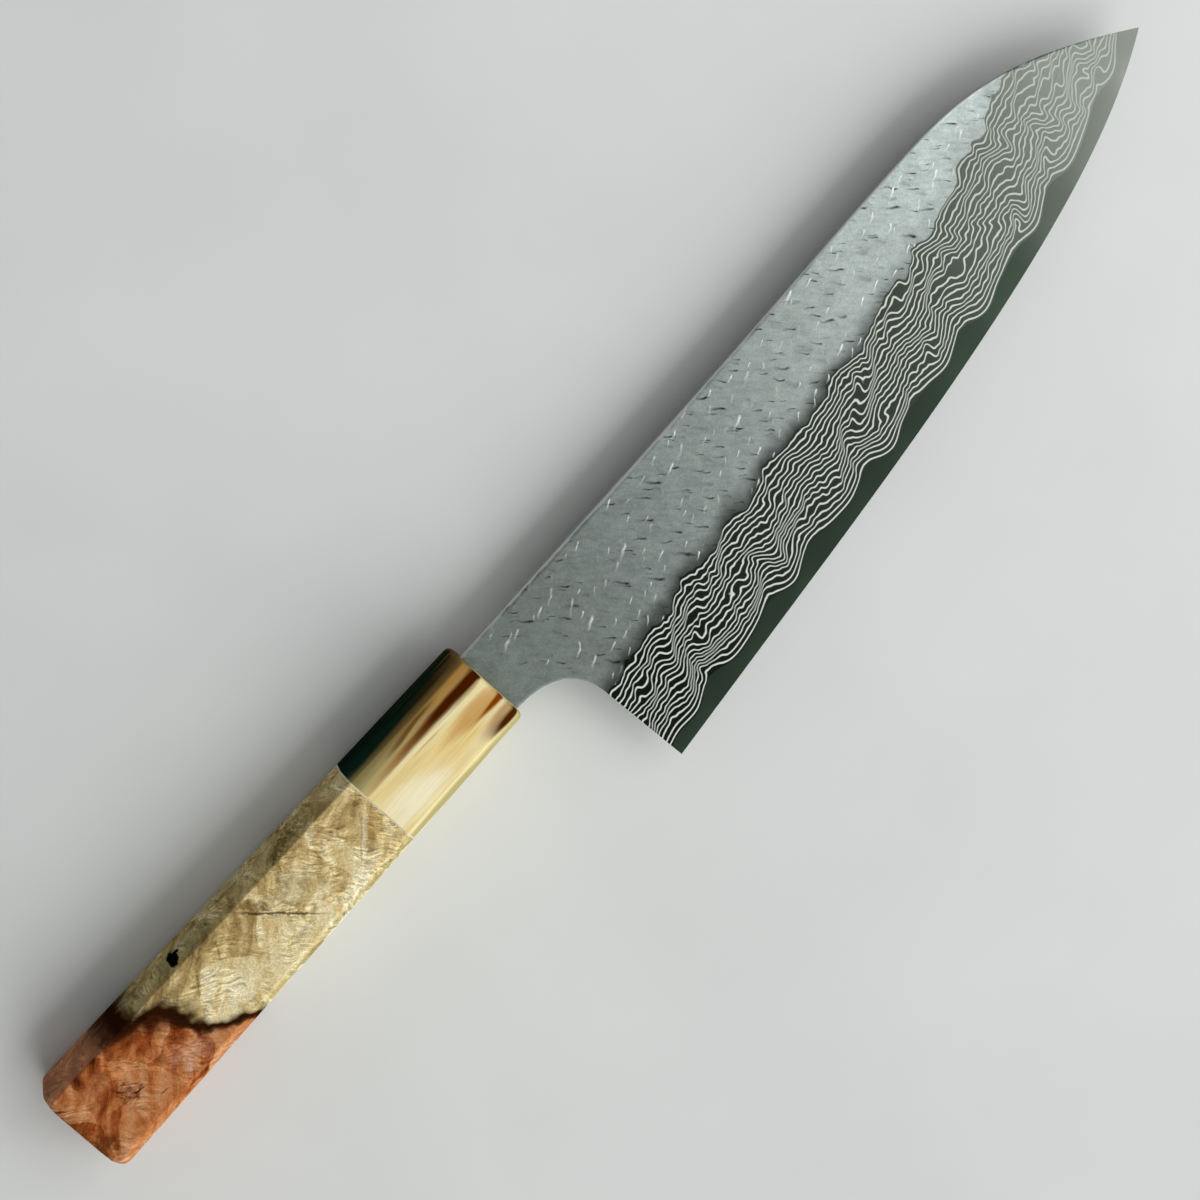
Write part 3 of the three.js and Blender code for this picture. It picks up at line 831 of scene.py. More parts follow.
        # painted shade on the heartwood's spine-side corner facet
        red = add_shades(add, red, spine_past, self.red_spine_facet_shade)
        body = add("Mix", {0: heart, 6: tan, 7: red}, data_type="RGBA", out=2)
        body = add("Mix", {0: rim, 6: body, 7: linear(self.rim_colour)}, data_type="RGBA", out=2)
        body = add_streaks(add, crisp, body, self.knots)
        calm = add("Math", (shade, self.red_calm, 1 - self.red_calm), operation="MULTIPLY_ADD")
        shade = add("Mix", {0: heart, 2: shade, 3: calm}, data_type="FLOAT")
        colour = add("VectorMath", {0: body, "Scale": shade}, operation="SCALE")
        return {"Base Color": colour, "Roughness": 0.38, "IOR": 1.5, "Specular IOR Level": 0.0}


@dataclass(frozen=True)
class DowelWood(Finish):
    """Plain sawn hardwood: straight tan grain along the dowel."""

    label: str = "Plain magnolia wood"
    grain: Triple = (22.0, 0.8, 0.8)  # mm along each axis
    tones: Ramp = ((0.3, "#a4804f"), (0.7, "#c9a877"))

    def paint(self, add: Adder, place: Socket) -> dict[str, Any]:
        """Runs the grain along the dowel (see Finish.paint)."""
        grain = add_fibres(add, place, self.grain, 4.0)
        return {"Base Color": add("ValToRGB", (grain,), self.tones), "Roughness": 0.6}


@dataclass(frozen=True)
class CuredResin(Finish):
    """Cured epoxy: amber and faintly cloudy."""

    label: str = "Cured amber epoxy"
    cloud: float = 2.5  # mm
    tones: Ramp = ((0.3, "#b09a68"), (0.7, "#d3c294"))

    def paint(self, add: Adder, place: Socket) -> dict[str, Any]:
        """Clouds the resin (see Finish.paint)."""
        cloud = add("TexNoise", {"Vector": place, "Scale": 1 / self.cloud})
        return {"Base Color": add("ValToRGB", (cloud,), self.tones), "Roughness": 0.25, "IOR": 1.55}


@dataclass(frozen=True)
class PaleFloor(Finish):
    """Matt painted board: pale grey, with hardly a mottle."""

    label: str = "Pale matt board"
    mottle: float = 60.0  # mm
    tones: Ramp = ((0.3, "#d6d9d7"), (0.7, "#dcdfdd"))

    def paint(self, add: Adder, place: Socket) -> dict[str, Any]:
        """Mottles the board faintly (see Finish.paint)."""
        cloud = add("TexNoise", {"Vector": place, "Scale": 1 / self.mottle, "Detail": 3.0})
        return {"Base Color": add("ValToRGB", (cloud,), self.tones), "Roughness": 0.8}


class Side(Enum):
    """The blade's two faces, each with the way that it looks along Z."""

    RIGHT = 1
    LEFT = -1


class Draw(IntEnum):
    """What a random draw is for: added to a face's seed, so that no two things share their draws."""

    DRIFT = 0
    BROAD = 1
    FINE = 2
    TIP = 7
    WAVES = 9
    HOOKS = 11
    MARKS = 20
    LESSER_MARKS = 21
    FAULTS = 76


@dataclass
class BladeProfile:
    """The blade's outline and section in millimetres: the same driving dimensions as the solids have."""

    reach: float
    heel_drop: float
    tang_length: float
    tip_drop: float = 9.35
    spine_rise: float = 7.55
    spine_lead: float = 103.0
    hump_at: float = 142.0
    hump_rise: float = 9.3
    hump_lead_in: float = 35.0
    hump_lead_out: float = 15.4
    tip_spine_lead: float = 23.2
    tip_spine_slope: float = 0.712
    heel_at: float = 16.1
    edge_flat: float = 50.0
    edge_slope: float = 0.102
    belly_lead: float = 77.2
    tip_edge_lead: float = 20.0
    tip_edge_slope: float = 0.569
    neck_drop: float = 8.9
    neck_lead: float = 10.65
    choil_at: float = 15.1
    choil_drop: float = 21.2
    choil_lead: float = 7.04
    neck_half: float = 1.1
    tip_half: float = 0.45
    core_half: float = 0.3
    edge_half: float = 0.08
    bevel_rise: float = 21.0
    core_show: float = 3.75
    heel_cover: float = 1.7  # how much farther down the cladding reaches at the heel
    wave_crest: float = 33.0
    wave_length: float = 17.7
    ripples: tuple[Triple, ...] = ((0.35, 20.0, 11.3), (0.25, 70.0, 41.0))  # swing, crest and length
    heel_ease: float = 10.0  # mm over which the heel's cover runs out
    tang_end_width: float = 6.0

    @cached_property
    def tip(self) -> Span:
        """Gives the tip's x and y."""
        return self.reach, -self.tip_drop

    @cached_property
    def flat_end(self) -> Span:
        """Gives the x and y where the edge's straight stretch ends."""
        return self.heel_at + self.edge_flat, self.edge_flat * self.edge_slope - self.heel_drop

    @cached_property
    def belly(self) -> np.ndarray:
        """Samples the edge from its straight stretch to the tip."""
        x, y = self.flat_end
        lead = (x + self.belly_lead, y + self.belly_lead * self.edge_slope)
        trail = (self.tip[0] - self.tip_edge_lead, self.tip[1] - self.tip_edge_lead * self.tip_edge_slope)
        return bezier([self.flat_end, lead, trail, self.tip])

    @cached_property
    def back(self) -> np.ndarray:
        """Samples the spine from the ferrule to the tip."""
        hump = (self.hump_at, self.hump_rise)
        lead_in = (self.hump_at - self.hump_lead_in, self.hump_rise)
        lead_out = (self.hump_at + self.hump_lead_out, self.hump_rise)
        trail = (self.tip[0] - self.tip_spine_lead, self.tip[1] + self.tip_spine_lead * self.tip_spine_slope)
        rise = bezier([(0.0, self.spine_rise), (self.spine_lead, self.spine_rise), lead_in, hump])
        return np.vstack([rise, bezier([hump, lead_out, trail, self.tip])[1:]])

    @cached_property
    def throat(self) -> np.ndarray:
        """Samples the underside of the neck from the ferrule to the back of the heel."""
        end = (self.choil_at, -self.choil_drop)
        trail = (self.choil_at, self.choil_lead - self.choil_drop)
        return bezier([(0.0, -self.neck_drop), (self.neck_lead, -self.neck_drop), trail, end])

    def edge(self, x: np.ndarray) -> np.ndarray:
        """Gives the edge's y at x, carried on straight behind the heel."""
        flat = self.flat_end[1] + (x - self.flat_end[0]) * self.edge_slope
        return np.where(x < self.flat_end[0], flat, np.interp(x, self.belly[:, 0], self.belly[:, 1]))

    def spine(self, x: np.ndarray) -> np.ndarray:
        """Gives the spine's y at x."""
        return np.interp(x, self.back[:, 0], self.back[:, 1])

    def choil(self, x: np.ndarray) -> np.ndarray:
        """Gives the y of the neck's underside at x."""
        return np.interp(x, self.throat[:, 0], self.throat[:, 1])

    def heel_back(self, y: np.ndarray) -> np.ndarray:
        """Gives the x of the heel's straight back at y."""
        return np.interp(-y, [self.choil_drop, self.heel_drop], [self.choil_at, self.heel_at])

    def show(self, x: np.ndarray) -> np.ndarray:
        """Gives how much bare core shows above the edge at x: the cladding ends in uneven waves."""
        turn = 2 * math.pi
        broad = np.cos(turn * (x - self.wave_crest) / self.wave_length)
        uneven = sum(swing * np.cos(turn * (x - crest) / length) for swing, crest, length in self.ripples)
        heel = self.heel_cover * (1 - eased(self.choil_at, self.choil_at + self.heel_ease, x))
        return self.core_show + broad + uneven - heel

    def cladding_line(self, x: np.ndarray) -> np.ndarray:
        """Gives the y at x where cladding gives way to bare core, held below the spine."""
        return np.minimum(self.edge(x) + self.show(x), self.spine(x))

    def bevel_top(self, x: np.ndarray) -> np.ndarray:
        """Gives the y at x where the bevel ends, measured up from the choil, held below the spine."""
        rise = -self.choil_drop - float(self.edge(np.array(self.choil_at)))
        return np.minimum(self.edge(x) + rise, self.spine(x))

    def flat_half(self, x: np.ndarray) -> np.ndarray:
        """Gives half the flats' thickness at x."""
        return np.interp(x, [0.0, self.reach], [self.neck_half, self.tip_half])

    def meets_spine(self, line: Curve) -> float:
        """Gives the x past the hump where a rising line reaches the spine."""
        x = np.linspace(self.hump_at, self.reach, 2000)
        return float(x[np.argmax(self.spine(x) - line(x) < 1e-6)])


@dataclass(frozen=True)
class Waves:
    """Slow seeded unevenness: a sum of sine waves."""

    seed: int
    count: int
    along: Span  # shortest and longest wave along the blade, mm
    across: Span  # and across it
    swing: float

    def at(self, x: np.ndarray, y: np.ndarray) -> np.ndarray:
        """Adds up the waves.

        Args:
            x: Places along the blade.
            y: Places across it.

        Returns:
            The height at each place.
        """
        draw = np.random.RandomState(self.seed)
        lengths = np.exp(draw.uniform(*np.log(self.along), self.count))
        ways = np.where(draw.rand(self.count) < 0.5, -1, 1)
        heights = np.exp(draw.uniform(*np.log(self.across), self.count))
        starts = draw.uniform(0.0, 2 * math.pi, self.count)
        total = np.zeros_like(x)
        for length, way, height, start in zip(lengths, ways, heights, starts):
            total += np.sin(2 * math.pi * (way * x / length + y / height) + start)
        return total * self.swing * math.sqrt(2 / self.count)


@dataclass(frozen=True)
class HammerRows:
    """Staggered rows of round hammer marks: flat-bottomed, and deepest on the spine's side."""

    seed: int
    radius: float
    rim: float
    start: Span = (1.0, 5.0)
    pitch: float = 7.5
    row_gap: float = 6.5
    columns: int = 30
    rows: int = 8
    scatter: float = 0.9
    turn: float = 45.0  # degrees that the deep side strays
    share: float = 1.0  # of the marks that were struck
    sizes: Span = (0.75, 1.15)  # smallest and largest, in radii
    forces: Span = (0.4, 1.0)  # of the weakest and the hardest blow

    def depth(self, x: np.ndarray, y: np.ndarray) -> np.ndarray:
        """Gives how deep the marks are.

        Args:
            x: Places along the blade.
            y: Places across it.

        Returns:
            Depths from 0, untouched, to 1.
        """
        draw = np.random.RandomState(self.seed)
        depth = np.zeros_like(x)
        for row in range(-1, self.rows):
            for column in range(-2, self.columns):
                shift = (row % 2) * self.pitch / 2
                middle_x = self.start[0] + self.pitch * column + shift + draw.uniform(-1, 1) * self.scatter
                middle_y = self.start[1] - self.row_gap * row + draw.uniform(-1, 1) * self.scatter
                radius = self.radius * draw.uniform(*self.sizes)
                force = draw.uniform(*self.forces)
                facing = math.radians(90 + self.turn * draw.uniform(-1, 1))
                struck = draw.rand() < self.share
                near = np.flatnonzero((np.abs(x - middle_x) < radius) & (np.abs(y - middle_y) < radius))
                if not struck or near.size == 0:
                    continue
                off_x = x[near] - middle_x
                off_y = y[near] - middle_y
                lean = 0.5 + 0.5 * (off_x * math.cos(facing) + off_y * math.sin(facing)) / radius
                wall = eased(radius, radius - self.rim, np.hypot(off_x, off_y))
                depth[near] = np.maximum(depth[near], force * wall * np.clip(lean, 0.0, 1.0))
        return depth


@dataclass(frozen=True)
class Jogs:
    """Small seeded faults at which the layers step up towards the tip, each in a patch of its own."""

    profile: BladeProfile
    seed: int
    count: int = 110
    lean: float = 0.6  # mm along the blade for each mm across
    blunt: float = 0.45  # mm over which a layer steps
    radius: Span = (1.3, 2.6)  # mm
    push: Span = (0.2, 0.38)  # layers
    over: Span = (2.5, 18.0)  # mm above the cladding's line
    rising: float = 0.8  # share of them that step up
    falling: float = -0.6  # push of the others, as a share
    squash: float = 0.7  # less than 1 draws a patch out across the blade
    cutoff: float = 3.0  # radii beyond which a fault isn't felt

    def at(self, x: np.ndarray, y: np.ndarray) -> np.ndarray:
        """Adds up the faults (see Waves.at)."""
        draw = np.random.RandomState(self.seed)
        total = np.zeros_like(x)
        for _ in range(self.count):
            middle_x = draw.uniform(self.profile.choil_at, self.profile.reach)
            line = float(self.profile.edge(np.array(middle_x))) + self.profile.core_show
            middle_y = line + draw.uniform(*self.over)
            radius = draw.uniform(*self.radius)
            push = draw.uniform(*self.push) * (1.0 if draw.rand() < self.rising else self.falling)
            felt = self.cutoff * radius
            near = np.flatnonzero((np.abs(x - middle_x) < felt) & (np.abs(y - middle_y) < felt))
            off_y = y[near] - middle_y
            across = x[near] - middle_x - self.lean * off_y
            fade = np.exp(-(across**2 + self.squash * off_y**2) / radius**2)
            total[near] -= push * np.tanh(across / self.blunt) * fade
        return total


@dataclass(frozen=True)
class Hook:
    """A sharp turn that each wave of the layers may take."""

    at: float  # radians from the middle of the wave's steep side
    swing: float  # layers
    skew: float  # 0 for an even wave, near 1 for a sudden turn


@dataclass(frozen=True)
class LayerField:
    """How the welded layers lie in one cladding: a bright line runs along the middle of each on the bevel.

    Every layer repeats the waves of the cladding's own line, shifted towards the tip the higher it lies. The
    waves fall slowly and rise steeply, they come and go in patches, and hooks and small faults break them.
    """

    profile: BladeProfile
    seed: int
    pitch: float = 1.06  # mm of bevel for each layer
    tip_stretch: float = 0.17  # how much wider the layers show near the tip
    lean: float = 0.42  # mm that the waves shift for each mm up
    calm: float = 0.45  # share of the waves that is lost at the top
    swing: float = 0.35
    skew: float = 0.75
    hooks: tuple[Hook, ...] = (Hook(-1.7, 0.54, 0.74), Hook(0.1, 0.3, 0.86), Hook(1.6, 0.54, 0.74))
    phase: float = 0.75  # radians from the crest of the cladding's line
    tip_wave: float = 7.5  # mm
    tip_swing: float = 0.6
    tip_skew: float = 0.6
    tip_over: Span = (138.0, 160.0)  # x over which the tip's loops begin
    stretch_over: Span = (105.0, 165.0)  # x over which the layers widen
    drift_over: Span = (0.5, 6.0)  # mm above the core over which the waves begin to drift
    calm_over: Span = (3.0, 15.0)  # and over which they calm
    warp_over: Span = (0.2, 3.0)  # and over which the layers leave the core's line
    patch_count: int = 12
    patch_swing: float = 0.45
    patch_most: float = 1.25
    wave_patch: tuple[Span, Span, float] = ((14.0, 40.0), (7.0, 16.0), 0.75)  # see patches
    hook_patch: tuple[Span, Span, float] = ((9.0, 26.0), (6.0, 14.0), 0.5)
    drift: WaveSet = (12, (22.0, 60.0), (14.0, 36.0), 2.2)  # mm along the blade
    tip_drift: WaveSet = (10, (16.0, 40.0), (14.0, 30.0), 1.0)  # radians
    broad: WaveSet = (16, (6.0, 14.0), (8.0, 20.0), 0.12)  # layers
    fine: WaveSet = (24, (1.8, 4.0), (5.0, 12.0), 0.07)  # layers

    @staticmethod
    def saw(phase: np.ndarray, skew: float) -> np.ndarray:
        """Gives a wave that falls slowly and rises steeply."""
        return -np.arctan2(skew * np.sin(phase), 1 - skew * np.cos(phase)) / math.asin(skew)

    def patches(self, number: int, along: Span, across: Span, mean: float) -> Field:
        """Gives patches, from 0 to a little over 1, in which a wave comes and goes.

        Args:
            number: Sets these patches apart from others.
            along: Their shortest and longest wave along the blade, in millimetres.
            across: The same across it.
            mean: Their middle strength.

        Returns:
            The strength at x and y.
        """
        waves = Waves(self.seed + number, self.patch_count, along, across, self.patch_swing)
        return lambda x, y: np.clip(mean + waves.at(x, y), 0.0, self.patch_most)

    def layer(self, x: np.ndarray, y: np.ndarray) -> np.ndarray:
        """Counts layers out from the core.

        Args:
            x: Places along the blade.
            y: Places across it.

        Returns:
            The layer at each place, 0 at the core.
        """
        shape = self.profile
        turn = 2 * math.pi
        rise = y - shape.edge(x) - shape.core_show
        shifted = x - self.lean * np.maximum(rise, 0.0)
        slow = Waves(self.seed + Draw.DRIFT, *self.drift).at(x, y) * eased(*self.drift_over, rise)
        calm = 1 - self.calm * eased(*self.calm_over, rise)
        own = (shape.show(shifted + slow) - shape.core_show) * calm
        phase = turn * (shifted + slow - shape.wave_crest) / shape.wave_length + self.phase
        lively = self.patches(Draw.WAVES, *self.wave_patch)
        warp = self.swing * self.saw(phase, self.skew) * calm * lively(x, y)
        for number, hook in enumerate(self.hooks):
            force = self.patches(Draw.HOOKS + number, *self.hook_patch)
            warp += hook.swing * force(x, y) * self.saw(phase - hook.at, hook.skew)
        quick = Waves(self.seed + Draw.TIP, *self.tip_drift).at(x, y)
        loops = self.saw(turn * shifted / self.tip_wave + quick, self.tip_skew)
        warp += self.tip_swing * eased(*self.tip_over, x) * loops
        warp += Waves(self.seed + Draw.BROAD, *self.broad).at(x, y)
        warp += Waves(self.seed + Draw.FINE, *self.fine).at(x, y)
        warp += Jogs(shape, self.seed + Draw.FAULTS).at(x, y)
        pitch = self.pitch * (1 + self.tip_stretch * eased(*self.stretch_over, x))
        return (rise - own) / pitch + warp * eased(*self.warp_over, rise)

    def crowding(self, x: np.ndarray, y: np.ndarray, step: float = 0.12) -> np.ndarray:
        """Gives how many layers lie in a millimetre at each place (see layer)."""
        slope_x = self.layer(x + step, y) - self.layer(x - step, y)
        slope_y = self.layer(x, y + step) - self.layer(x, y - step)
        return np.hypot(slope_x, slope_y) / (2 * step)


@dataclass
class BladeLayer:
    """One layer of the blade, made of grids that follow its outline."""

    knife: KnifeFrame
    profile: BladeProfile
    tang_rows: tuple[int, int] = (13, 39)  # rows of the neck between which the tang runs on
    neck_rows: int = 48
    heel_blend: float = 10.0  # mm over which columns lean with the heel's back

    def half(self, x: np.ndarray, y: np.ndarray) -> np.ndarray:
        """Gives the height of the layer's face above the blade's middle plane."""
        raise NotImplementedError

    @staticmethod
    def stretch(start: float, end: float) -> Curve:
        """Gives the x at a share of the way from start to end."""
        return lambda share: start + (end - start) * share

    def between(self, low: Curve, share: float) -> Curve:
        """Gives the line at a share of the way from a lower line to the spine."""
        return lambda x: low(x) + (self.profile.spine(x) - low(x)) * share

    def add_patch(
        self, bm: bmesh.types.BMesh, columns: int, rows: int, along: Curve, levels: Sequence[Curve]
    ) -> None:
        """Adds one grid of the face.

        Args:
            bm: The mesh that it joins.
            columns: Cells along the blade.
            rows: Cells across it, a multiple of the number of strips between levels.
            along: Turns the share of the way along the grid into x.
            levels: The lines that it passes through, from the edge's side up, as y at x.
        """
        verts = bmesh.ops.create_grid(bm, x_segments=columns, y_segments=rows, size=0.5)["verts"]
        share = np.array([vert.co.to_tuple() for vert in verts]) + 0.5
        strip = share[:, 1] * (len(levels) - 1)
        spots = np.arange(len(levels))

        def height(x: np.ndarray) -> np.ndarray:
            """Gives each point's y from the levels at its x."""
            lines = np.stack([level(x) for level in levels])
            weights = np.clip(1 - np.abs(strip[None, :] - spots[:, None]), 0, 1)
            return (lines * weights).sum(axis=0)

        x = along(share[:, 0])
        behind = np.clip(1 - (x - self.profile.choil_at) / self.heel_blend, 0, 1)
        lean = self.profile.heel_back(height(x)) - self.profile.choil_at
        x = x + np.where(x < self.profile.choil_at - 1e-4, 0.0, lean * behind)
        y = height(x)
        for vert, spot in zip(verts, np.column_stack((x, y, self.half(x, y))).tolist()):
            vert.co = spot

    def add_tang(self, bm: bmesh.types.BMesh, columns: int, rows: int) -> None:
        """Adds the tang's face, which takes up the middle rows of the neck.

        Args:
            bm: The mesh that it joins.
            columns: Cells along the tang.
            rows: Cells across it.
        """
        start = np.array(0.0)
        low, high = (
            float(self.between(self.profile.choil, row / self.neck_rows)(start)) for row in self.tang_rows
        )
        ends = [-self.profile.tang_length, 0.0]
        half_end = self.profile.tang_end_width / 2
        self.add_patch(
            bm,
            columns,
            rows,
            lambda share: ends[0] * (1 - share),
            [lambda x: np.interp(x, ends, [-half_end, low]), lambda x: np.interp(x, ends, [half_end, high])],
        )

    def neck_along(self, share: np.ndarray) -> np.ndarray:
        """Gives x over the neck, with columns that close up where the choil turns down."""
        return self.profile.choil_at * (1 - (1 - share) ** 2)


@dataclass
class CoreSteel(BladeLayer):
    """The hard core: bare along the edge, an even sheet under the claddings, and the middle of the tang."""

    columns: int = 240
    neck_columns: int = 24
    tang_columns: int = 8

    def half(self, x: np.ndarray, y: np.ndarray) -> np.ndarray:
        """Grinds the bare strip down to the edge's land (see BladeLayer.half)."""
        share = np.clip((y - self.profile.edge(x)) / self.profile.show(x), 0, 1)
        return self.profile.edge_half + (self.profile.core_half - self.profile.edge_half) * share

    def build(self) -> bmesh.types.BMesh:
        """Makes one face, pulls its other side out of it and sets each to its height.

        Returns:
            The closed core.
        """
        bm = bmesh.new()
        shares = [row / self.neck_rows for row in self.tang_rows] + [1.0]
        upper = [self.between(self.profile.bevel_top, share) for share in shares]
        blade = [self.profile.edge, self.profile.cladding_line, self.profile.bevel_top, *upper]
        neck = [self.profile.choil, *(self.between(self.profile.choil, share) for share in shares)]
        along = self.stretch(self.profile.choil_at, self.profile.reach)
        self.add_patch(bm, self.columns, len(blade) - 1, along, blade)
        self.add_patch(bm, self.neck_columns, len(neck) - 1, self.neck_along, neck)
        self.add_tang(bm, self.tang_columns, 1)
        bmesh.ops.remove_doubles(bm, verts=bm.verts[:], dist=MERGE_GAP)
        made = bmesh.ops.extrude_face_region(bm, geom=bm.faces[:])
        lifted = {item for item in made["geom"] if isinstance(item, bmesh.types.BMVert)}
        for vert in bm.verts:
            if vert not in lifted:
                vert.co.z *= -1
        return bm

    def dress(self) -> bpy.types.Object:
        """Builds the core and gives it its ground finish."""
        finish = GroundCoreSteel()
        return self.knife.add_piece(self.build(), "core_blade", "core_steel", "core_steel", finish)


@dataclass
class Cladding(BladeLayer):
    """One layered jacket: a ground bevel that shows its layers and hammered flats above."""

    side: Side = Side.RIGHT
    seed: int = 5
    cell: float = 0.27  # mm along the blade
    bevel_rows: int = 92
    neck_columns: int = 56
    tang_columns: int = 24
    mark_depth: float = 0.02
    mark_edge: float = 0.8  # layers above the grind over which the marks begin
    lesser_force: float = 0.8  # of the second set of marks
    ease: float = 0.14  # how much the outer corners are broken
    ease_width: float = 0.27
    ease_most: float = 0.6  # share of the cladding's thickness that it may take
    spine_highlight_reach: float = 3.0  # most mm in from the spine that are passed to the finish, for its painted spine highlight
    throat_ease: float = 0.25  # share of that along the choil and the back of the heel
    plain_neck: Span = (4.0, 9.0)  # x over which the hammer marks begin

    @cached_property
    def field(self) -> LayerField:
        """Gives this face's lie of layers."""
        return LayerField(self.profile, self.seed)

    def marks(self, x: np.ndarray, y: np.ndarray) -> np.ndarray:
        """Gives the depth of the hammer marks, two sets of rows laid over each other.

        Args:
            x: Places along the blade.
            y: Places across it.

        Returns:
            Depths in millimetres.
        """
        rows = partial(HammerRows, rim=1.0, row_gap=7.5)
        main = rows(self.seed + Draw.MARKS, radius=2.6, start=(1.6, 4.9), turn=12.0, scatter=0.6)
        between = rows(self.seed + Draw.LESSER_MARKS, radius=2.2, start=(3.4, 1.0), turn=20.0, share=0.55)
        struck = np.maximum(main.depth(x, y), self.lesser_force * between.depth(x, y))
        ground = eased(0.0, self.mark_edge, self.field.layer(x, y) - LayeredSteel.skin_at)
        return self.mark_depth * struck * ground * eased(*self.plain_neck, x)

    def half(self, x: np.ndarray, y: np.ndarray) -> np.ndarray:
        """Takes the lower of flat and bevel, and breaks the outer corners (see BladeLayer.half)."""
        shape = self.profile
        flat = shape.flat_half(x)
        show = shape.show(x)
        climb = (y - shape.edge(x) - show) / (shape.bevel_rise - show)
        bevel = np.where(x < 0.0, flat, shape.core_half + (flat - shape.core_half) * climb)
        height = np.minimum(flat - self.marks(x, y), bevel)
        under = np.where(x < shape.choil_at, y - shape.choil(x), self.ease_width)
        under = np.where(y < -shape.choil_drop, x - shape.heel_back(y), under)
        gaps = (shape.spine(x) - y, under)
        along_back, along_throat = (np.clip(1 - gap / self.ease_width, 0, 1) for gap in gaps)
        corner = np.maximum(along_back, self.throat_ease * along_throat) * (x >= 0.0)
        most = self.ease_most * (height - shape.core_half)
        return np.maximum(height - corner * np.minimum(self.ease, most), shape.core_half)

    def build(self) -> bmesh.types.BMesh:
        """Covers the face with grids, walls it down to the core and closes it underneath.

        The cells are split so that their diagonals run with the steep sides of the layers' waves.

        Returns:
            The closed cladding, with its layers on its points.
        """
        shape = self.profile
        bm = bmesh.new()
        heel = shape.choil_at
        top, foot = shape.bevel_top(np.array(heel)), shape.edge(np.array(heel))
        shoulder = shape.meets_spine(lambda x: shape.edge(x) + top - foot)
        end = shape.meets_spine(lambda x: shape.edge(x) + shape.show(x))
        long, short = (round(length / self.cell) for length in (shoulder - heel, end - shoulder))
        over_blade, over_tip = self.stretch(heel, shoulder), self.stretch(shoulder, end)
        line = shape.cladding_line
        self.add_patch(bm, long, self.neck_rows, over_blade, [shape.bevel_top, shape.spine])
        self.add_patch(bm, long, self.bevel_rows, over_blade, [line, shape.bevel_top])
        self.add_patch(bm, short, self.bevel_rows, over_tip, [line, shape.spine])
        self.add_patch(bm, self.neck_columns, self.neck_rows, self.neck_along, [shape.choil, shape.spine])
        self.add_tang(bm, self.tang_columns, self.tang_rows[1] - self.tang_rows[0])
        bmesh.ops.remove_doubles(bm, verts=bm.verts[:], dist=MERGE_GAP)
        bmesh.ops.triangulate(bm, faces=bm.faces[:], quad_method="FIXED")
        self.close(bm)
        self.mark_layers(bm)
        if self.side is Side.LEFT:
            bmesh.ops.scale(bm, vec=(1.0, 1.0, -1.0), verts=bm.verts[:])
        return bm

    def close(self, bm: bmesh.types.BMesh) -> None:
        """Drops walls from the open borders to the core and fills the underside."""
        low = self.profile.core_half
        open_edges = [edge for edge in bm.edges if edge.is_boundary]
        high = [edge for edge in open_edges if max(vert.co.z for vert in edge.verts) > low + 1e-5]
        made = bmesh.ops.extrude_edge_only(bm, edges=high)
        for item in made["geom"]:
            if isinstance(item, bmesh.types.BMVert):
                item.co.z = low
        bmesh.ops.remove_doubles(bm, verts=bm.verts[:], dist=MERGE_GAP)
        bmesh.ops.holes_fill(bm, edges=[edge for edge in bm.edges if edge.is_boundary], sides=0)

    def mark_layers(self, bm: bmesh.types.BMesh) -> None:
        """Tells the finish each point's layer, how crowded they are, and how far in from the spine it is."""
        spots = np.array([vert.co.to_tuple() for vert in bm.verts])
        values = {
            "layer": self.field.layer(spots[:, 0], spots[:, 1]),
            "crowd": self.field.crowding(spots[:, 0], spots[:, 1]),
            "inside": np.clip(self.profile.spine(spots[:, 0]) - spots[:, 1], 0.0, self.spine_highlight_reach),
        }
        for name, numbers in values.items():
            store = bm.verts.layers.float.new(name)
            for vert, number in zip(bm.verts, numbers.tolist()):
                vert[store] = number

    def dress(self) -> bpy.types.Object:
        """Builds the cladding and gives it its etched and hammered finish."""
        name = self.side.name.lower()
        return self.knife.add_piece(
            self.build(), f"{name}_layered_face", f"{name}_cladding", "cladding_steel", LayeredSteel()
        )


